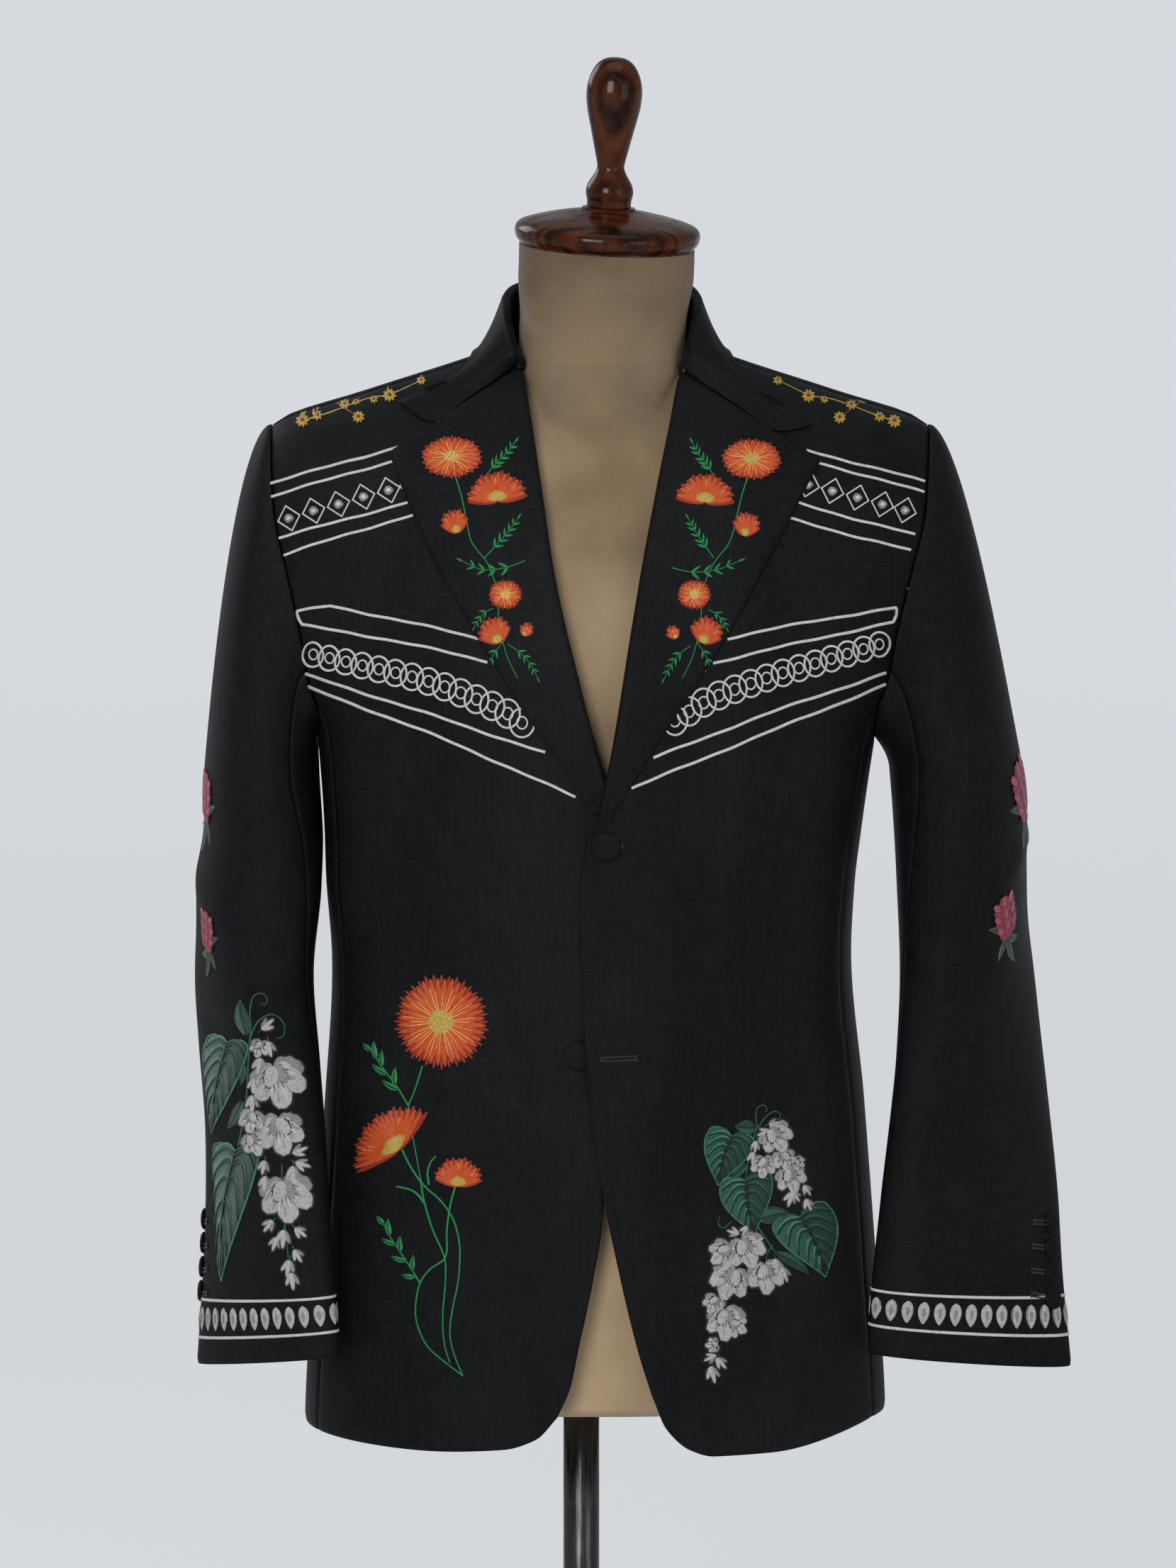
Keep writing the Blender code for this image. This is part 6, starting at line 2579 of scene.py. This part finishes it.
LEFT_FRONT_MOTIFS = [
    Lines(("1134 641 1220 663 1300 683", "1150 658 1226 679 1299 698", "1111 737 1198 760 1280 780",
           "1122 715 1206 738 1286 758", "1023 904 1140 880 1260 860", "1003 938 1130 908 1256 880",
           "920 1070 1080 1008 1246 951", "890 1112 1070 1038 1246 967", "1260 860 1260 870 1256 880")),
    Diamonds("1136 689 1170 698 1205 707 1240 716 1272 724", 16, -15),
    Rings("950 1018 1000 988 1080 958 1160 934 1236 911", (20, 17), 21),
    Stem("1258 598 1228 588 1200 577 1170 567 1138 563", 1.0, GOLD),
    Stem("1216 566 1202 578 1192 586 1181 593", 1.0, RED), Stem("1138 563 1118 552 1095 541", 0.9, GOLD),
    Star((1258, 598), 10, 80, 9), Star((1237, 592), 8, 110), Star((1181, 594), 9, 60, 9),
    Star((1198, 575), 8, 95), Star((1217, 566), 6, 30), Star((1138, 563), 10, 70, 9),
    Star((1160, 568), 6, 20), Star((1095, 541), 7, 100),
    Stem("1066 1586 1064 1572 1066 1560 1074 1555 1080 1560 1077 1565", 1.2, FOLIAGE),
    Stem("1066 1588 1078 1572 1090 1564 1098 1568 1097 1575 1092 1574", 1.2, FOLIAGE),
    Stem("1030 1718 1020 1727 1012 1722 1014 1711", 1.1, FOLIAGE),
    Stem("1066 1586 1060 1606 1054 1632 1050 1660", 1.5, FOLIAGE),
    Stem("1066 1724 1078 1742 1092 1763", 1.5, FOLIAGE),
    Stem("1088 1752 1080 1766 1078 1784", 1.2, FOLIAGE),
    Stem("1012 1868 1010 1888 1006 1905 1004 1925", 1.2, FOLIAGE), Blade((1052, 1636), (1028, 1657), 13),
    Blade((1068, 1716), (1112, 1708), 26), Blade((1092, 1763), (1140, 1794), 17),
    Blade((1064, 1586), (1035, 1584), 24), HeartLeaf((1030, 1599), (1011, 1667), 70),
    HeartLeaf((1050, 1662), (1063, 1736), 78), HeartLeaf((1127, 1714), (1163, 1799), 90, -0.06),
    Bud((1063, 1614), 17, -100), Bud((1059, 1630), 18, -95), Bud((1074, 1594), 18, 200),
    Bud((1090, 1581), 16, 10), Bell((1093, 1605), 44, -60), Bell((1106, 1634), 31, -70, True),
    Bell((1073, 1643), 33, -100), Bell((1125, 1638), 17, -40), Bell((1113, 1662), 40, -75),
    Bud((1112, 1688), 22, -110), Bud((1120, 1684), 18, -60), Bud((1136, 1676), 17, -60),
    Bud((1138, 1697), 19, -70), Bud((1032, 1733), 18, 160), Bud((1048, 1732), 16, -120),
    Bud((1069, 1746), 16, 40), Bell((1014, 1764), 38, -140), Bell((1051, 1764), 50, -70),
    Bell((1077, 1800), 48, -90), Bell((1028, 1807), 52, -110, True), Bud((1093, 1780), 18, -80),
    Bud((1104, 1794), 22, -70), Bell((1003, 1835), 29, -120), Bell((1040, 1866), 30, -30, True),
    Bell((1020, 1864), 50, -95), Bell((1002, 1891), 20, 180), Bud((1000, 1910), 18, 200),
    Bud((1016, 1918), 20, -50), Bud((1004, 1934), 24, -80), Buttonhole((849, 1490), (897, 1488)),
    Buttonhole((862, 1194), (877, 1192), 1.5),
]
RIGHT_LAPEL_MOTIFS = [
    Stem("640 664 652 700 660 735 668 770 690 800 704 840 706 880 716 925 732 960", 1.0),
    Sprig("684 682 700 662 716 646 729 629", 5, 14, 0.8),
    Sprig("686 792 704 772 720 754 733 736", 5, 14, 0.8),
    Sprig("742 796 714 806 682 808 654 796", 4, 16, 0.8),
    Sprig("714 906 700 924 692 944 700 962", 3, 12, 0.7),
    Sprig("718 912 736 924 750 940 760 960", 4, 12, 0.7),
    Sprig("698 862 686 868 676 880 670 892", 3, 11, 0.7), Daisy((640, 651), 43, 24, 0.70),
    SideDaisy((704, 712), 41, 96, 172, 13, -0.05), SideDaisy((648, 757), 34, 104, 100, 8),
    Daisy((715, 843), 24, 18, 0.88), SideDaisy((706, 910), 38, 112, 110, 9),
    SideDaisy((740, 900), 20, 62, 80, 5),
]
LEFT_LAPEL_MOTIFS = [
    Stem("1056 668 1044 702 1036 735 1026 770 1004 800 988 840 986 880 976 925 960 960", 1.0),
    Sprig("1008 684 996 664 984 648 974 630", 5, 14, 0.8),
    Sprig("1004 792 990 772 978 754 968 736", 5, 14, 0.8),
    Sprig("946 806 976 812 1010 808 1040 796", 4, 16, 0.8),
    Sprig("980 908 992 926 998 944 992 962", 3, 12, 0.7),
    Sprig("972 914 956 926 944 942 934 962", 4, 12, 0.7),
    Sprig("996 864 1008 870 1018 882 1024 894", 3, 11, 0.7), Daisy((1057, 654), 42, 24, 0.70, 5.0),
    SideDaisy((992, 714), 40, 86, 172, 13, -0.05), SideDaisy((1046, 761), 34, 76, 100, 8),
    Daisy((977, 843), 24, 18, 0.88), SideDaisy((988, 910), 38, 68, 110, 9),
    SideDaisy((952, 904), 20, 118, 80, 5),
]
RIGHT_SLEEVE_MOTIFS = [
    Stem("355 1445 356 1418 362 1402 374 1400 380 1408 376 1416 371 1412", 1.2, FOLIAGE),
    Stem("354 1466 366 1440 386 1429 402 1440 403 1458 393 1463", 1.5, FOLIAGE),
    Stem("356 1440 355 1464 352 1502 348 1558 337 1616", 1.5, FOLIAGE),
    Stem("400 1640 402 1700 408 1760 412 1810", 1.3, FOLIAGE), Blade((351, 1458), (341, 1409), 23),
    Blade((343, 1552), (321, 1592), 18), Blade((346, 1500), (340, 1530), 11),
    HeartLeaf((322, 1472), (297, 1600), 66), HeartLeaf((333, 1626), (312, 1808), 74, 0.05),
    Bud((381, 1443), 22, 40), Bell((368, 1478), 26, -110), Bud((383, 1478), 22, -80),
    Bud((368, 1502), 24, -100), Bud((360, 1530), 22, -95), Bud((358, 1556), 24, -90),
    Bell((394, 1531), 70, -80), Bell((358, 1582), 34, -95, True), Bell((362, 1614), 36, -70),
    Bell((402, 1600), 60, -75, True), Bud((426, 1620), 22, 20), Bud((430, 1640), 22, -20),
    Bud((416, 1654), 24, -90), Bud((374, 1645), 20, -100), Bud((376, 1668), 22, -95),
    Bell((405, 1692), 68, -85), Bud((381, 1727), 20, -130), Bud((427, 1735), 20, -40),
    Bud((402, 1745), 26, -95), Bud((390, 1752), 20, -110), Bud((423, 1768), 20, -60),
    Bud((409, 1786), 24, -100), Bud((415, 1804), 24, -85),
]
CUFF_BUTTONHOLES = [Buttonhole((8, -y), (38, -4 - y), 1.6) for y in (0, 33, 66, 99)]
RIGHT_CLOVERS = ((15, 1.142, 46, 72), (15, 1.052, 38, 76))
LEFT_CLOVERS = ((13, 1.146, 60, 58), (22, 1.0626, 44, 62))


def embroider(fronts: dict[Side, Forepart], lapels: dict[Side, Lapel], sleeves: dict[Side, Sleeve]) -> None:
    """Lays each panel's motifs on it, and what goes round both sleeves.

    Args:
        fronts: the foreparts.
        lapels: the lapels.
        sleeves: the sleeves.
    """
    for name, surface, motifs in (
        ("right_front_stitches", fronts[Side.RIGHT].surface(), RIGHT_FRONT_MOTIFS),
        ("left_front_stitches", fronts[Side.LEFT].surface(), LEFT_FRONT_MOTIFS),
        ("right_lapel_stitches", lapels[Side.RIGHT].surface(), RIGHT_LAPEL_MOTIFS),
        ("left_lapel_stitches", lapels[Side.LEFT].surface(), LEFT_LAPEL_MOTIFS),
        ("right_sleeve_stitches", sleeves[Side.RIGHT].surface(), RIGHT_SLEEVE_MOTIFS),
    ):
        kind = SleeveLayout if isinstance(surface, SleeveSurface) else FrontLayout
        Embroidery(name, kind(surface), motifs).build()
    for side, height in ((Side.RIGHT, 0.7840), (Side.LEFT, 0.7865)):
        layout = CuffLayout(sleeves[side].surface(), height, 180)
        Embroidery(f"{side.prefix}_cuff_stitches", layout, [CuffRow(layout.length)]).build()
        layout = CuffLayout(sleeves[side].surface(), CUFF_BUTTON_HEIGHTS[0], CUFF_BUTTON_TURNS[side.prefix])
        Embroidery(f"{side.prefix}_cuff_buttonholes", layout, CUFF_BUTTONHOLES).build()
    for side, clovers in ((Side.RIGHT, RIGHT_CLOVERS), (Side.LEFT, LEFT_CLOVERS)):
        for number, (turn, height, size, aim) in enumerate(clovers, 1):
            layout = CuffLayout(sleeves[side].surface(), height, turn)
            Embroidery(f"{side.prefix}_clover_{number}", layout, [Clover((0, 0), size, aim)]).build()


class Held(Enum):
    """How a piece of cloth is held up."""

    DRAPED = "draped"
    HUNG = "hung"
    FOLDED = "folded"


@dataclass(frozen=True)
class Cut:
    """The flat size of a piece of cloth as it shows, what it lies on, and what is sewn to it."""

    piece: str
    flat: tuple[float, float]
    area: float
    held: Held
    rests_on: tuple[str, ...]
    sewn: tuple[str, ...] = ()

    def declare(self) -> None:
        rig.sheet(bpy.data.objects[self.piece], flat=self.flat, held=self.held.value, rests_on=self.rests_on,
                 area=self.area, with_pieces=[bpy.data.objects[name] for name in self.sewn])


def cuts_of(side: Side) -> list[Cut]:
    """The cuts of one side's pieces.

    Args:
        side: the wearer's side.

    Returns:
        The cuts.
    """
    name = side.prefix
    front = {Side.LEFT: ((0.235, 0.765), 0.143), Side.RIGHT: ((0.240, 0.765), 0.149)}[side]
    button = {Side.LEFT: "upper_button", Side.RIGHT: "lower_button"}[side]
    cuff = tuple(f"{name}_cuff_button_{number}_cover" for number in (1, 2, 3, 4))
    vines = ("right_sleeve_stitches",) if side is Side.RIGHT else ()
    vines += tuple(f"{name}_clover_{number}" for number in (1, 2))
    return [
        Cut(f"{name}_front_cloth", *front, Held.DRAPED, ("form_cover",),
            (f"{name}_front_stitches", button)),
        Cut(f"{name}_lapel_cloth", (0.119, 0.320), 0.020, Held.FOLDED, (f"{name}_front_cloth",),
            (f"{name}_lapel_stitches",)),
        Cut(f"{name}_side_body_cloth", (0.128, 0.505), 0.050, Held.DRAPED, ("form_cover",)),
        Cut(f"back_{name}_cloth", (0.250, 0.780), 0.147, Held.DRAPED, ("form_cover",)),
        Cut(f"{name}_top_sleeve_cloth", (0.330, 0.660), 0.113, Held.HUNG, (f"{name}_front_cloth",),
            (*vines, f"{name}_cuff_stitches", f"{name}_cuff_buttonholes", *cuff)),
        Cut(f"{name}_under_sleeve_cloth", (0.232, 0.568), 0.067, Held.HUNG, (f"{name}_side_body_cloth",)),
    ]


def studio(finish: Finish) -> None:
    """A round floor, four soft lights and the world's even light.

    Args:
        finish: the floor's finish.
    """
    reach, turn = np.meshgrid(np.linspace(0, 1, 40) ** 3 * 45, np.linspace(0, 2 * math.pi, 97),
                              indexing="ij")
    points = np.stack([reach * np.cos(turn), reach * np.sin(turn), 0 * turn], -1)
    floor = new_mesh("studio_floor", points.reshape(-1, 3), quads_of(40, 97))
    floor.data.materials.append(finish.material())
    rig.stage(floor)
    for name, place, size, power, target in (
        ("key", (-1.3, -4.0, 2.8), 1.8, 122.0, (0, 0, 1.15)),
        ("fill", (2.9, -2.9, 2.0), 2.2, 30.0, (0, 0, 1.1)),
        ("top", (0.0, -0.4, 3.7), 2.0, 13.0, (0, 0, 1.2)),
        ("rim", (-2.2, 2.0, 2.6), 1.6, 36.0, (0, 0, 1.2)),
    ):
        light = bpy.data.lights.new(name, "AREA")
        light.size, light.energy = size, power
        made = bpy.data.objects.new(name, light)
        made.location = place
        made.rotation_euler = (Vector(target) - Vector(place)).to_track_quat("-Z", "Y").to_euler()
        bpy.context.scene.collection.objects.link(made)
    world = bpy.data.worlds.new("studio")
    world.use_nodes = True
    world.node_tree.nodes["Background"].inputs["Color"].default_value = (0.690, 0.719, 0.750, 1)
    world.node_tree.nodes["Background"].inputs["Strength"].default_value = 0.55
    bpy.context.scene.world = world


def camera(distance: float = 8.0) -> None:
    """A long lens in front of the jacket and a little above it, framed as the picture.

    Args:
        distance: metres from the camera to the jacket.
    """
    width, height = IMAGE_SIZE
    middle = ((width / 2 - PICTURE_CENTRE) * PIXEL,
              (PICTURE_TOP - height / 2 * PIXEL) / math.cos(ELEVATION))
    target = Vector((middle[0], 0.0, middle[1]))
    data = bpy.data.cameras.new("camera")
    data.sensor_width, data.sensor_fit = 36.0, "AUTO"
    data.lens = data.sensor_width * distance / (height * PIXEL)
    data.clip_end = 120
    made = bpy.data.objects.new("camera", data)
    made.location = target + distance * Vector((0, -math.cos(ELEVATION), math.sin(ELEVATION)))
    made.rotation_euler = (target - made.location).to_track_quat("-Z", "Y").to_euler()
    bpy.context.scene.collection.objects.link(made)
    bpy.context.scene.camera = made


def main() -> None:
    """Builds the jacket, the form and the studio, then writes both boxes."""
    logging.basicConfig(level=logging.INFO, format="%(message)s")
    bpy.context.scene.view_settings.view_transform = "Standard"
    cloth = (Worsted(), Lining())
    fronts = {
        Side.LEFT: Forepart(Side.LEFT, LEFT_EDGE, LEFT_HEM, LEFT_ROLL, FRONT_CREASES),
        Side.RIGHT: Forepart(Side.RIGHT, RIGHT_EDGE, RIGHT_HEM, RIGHT_ROLL, FRONT_CREASES),
    }
    lapels = {Side.LEFT: Lapel(Side.LEFT, LEFT_LAPEL, LEFT_ROLL),
              Side.RIGHT: Lapel(Side.RIGHT, RIGHT_LAPEL, RIGHT_ROLL)}
    sleeves = {
        Side.LEFT: Sleeve(Side.LEFT, LEFT_SLEEVE, LEFT_SLEEVE_CREASES, (0.000, 0.0144)),
        Side.RIGHT: Sleeve(Side.RIGHT, RIGHT_SLEEVE, RIGHT_SLEEVE_CREASES, (-0.004, 0.0210)),
    }
    hems = {Side.LEFT: LEFT_HEM.last("height"), Side.RIGHT: RIGHT_HEM.last("height")}
    for side in Side:
        fronts[side].build(cloth)
        lapels[side].build(cloth)
        SideBody(side, hems[side]).build(cloth)
        BackPart(side, BACK_CREASES).build(cloth)
        sleeves[side].build(cloth)
    Collar((LEAF_LEFT, LEAF_RIGHT), (COLLAR_LEFT, COLLAR_RIGHT), COLLAR_BACK).build((cloth[0], cloth[0]))
    Buttons().build(sleeves, cloth[0])
    embroider(fronts, lapels, sleeves)
    form = DressForm(FORM)
    form.build(Cover())
    for cut in cuts_of(Side.LEFT) + cuts_of(Side.RIGHT):
        cut.declare()
    Cut("collar_cloth", (0.448, 0.119), 0.0294, Held.FOLDED,
        ("back_left_cloth", "back_right_cloth")).declare()
    STAND.build(form, Varnished(), Enamel())
    studio(Studio())
    camera()
    boxes = {"cad": CAD_BOX, "visual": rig.bounds()}
    with open(SIZE_FILE, "w") as out:
        json.dump({name: [list(corner) for corner in box] for name, box in boxes.items()}, out)


if __name__ == "__main__":
    main()
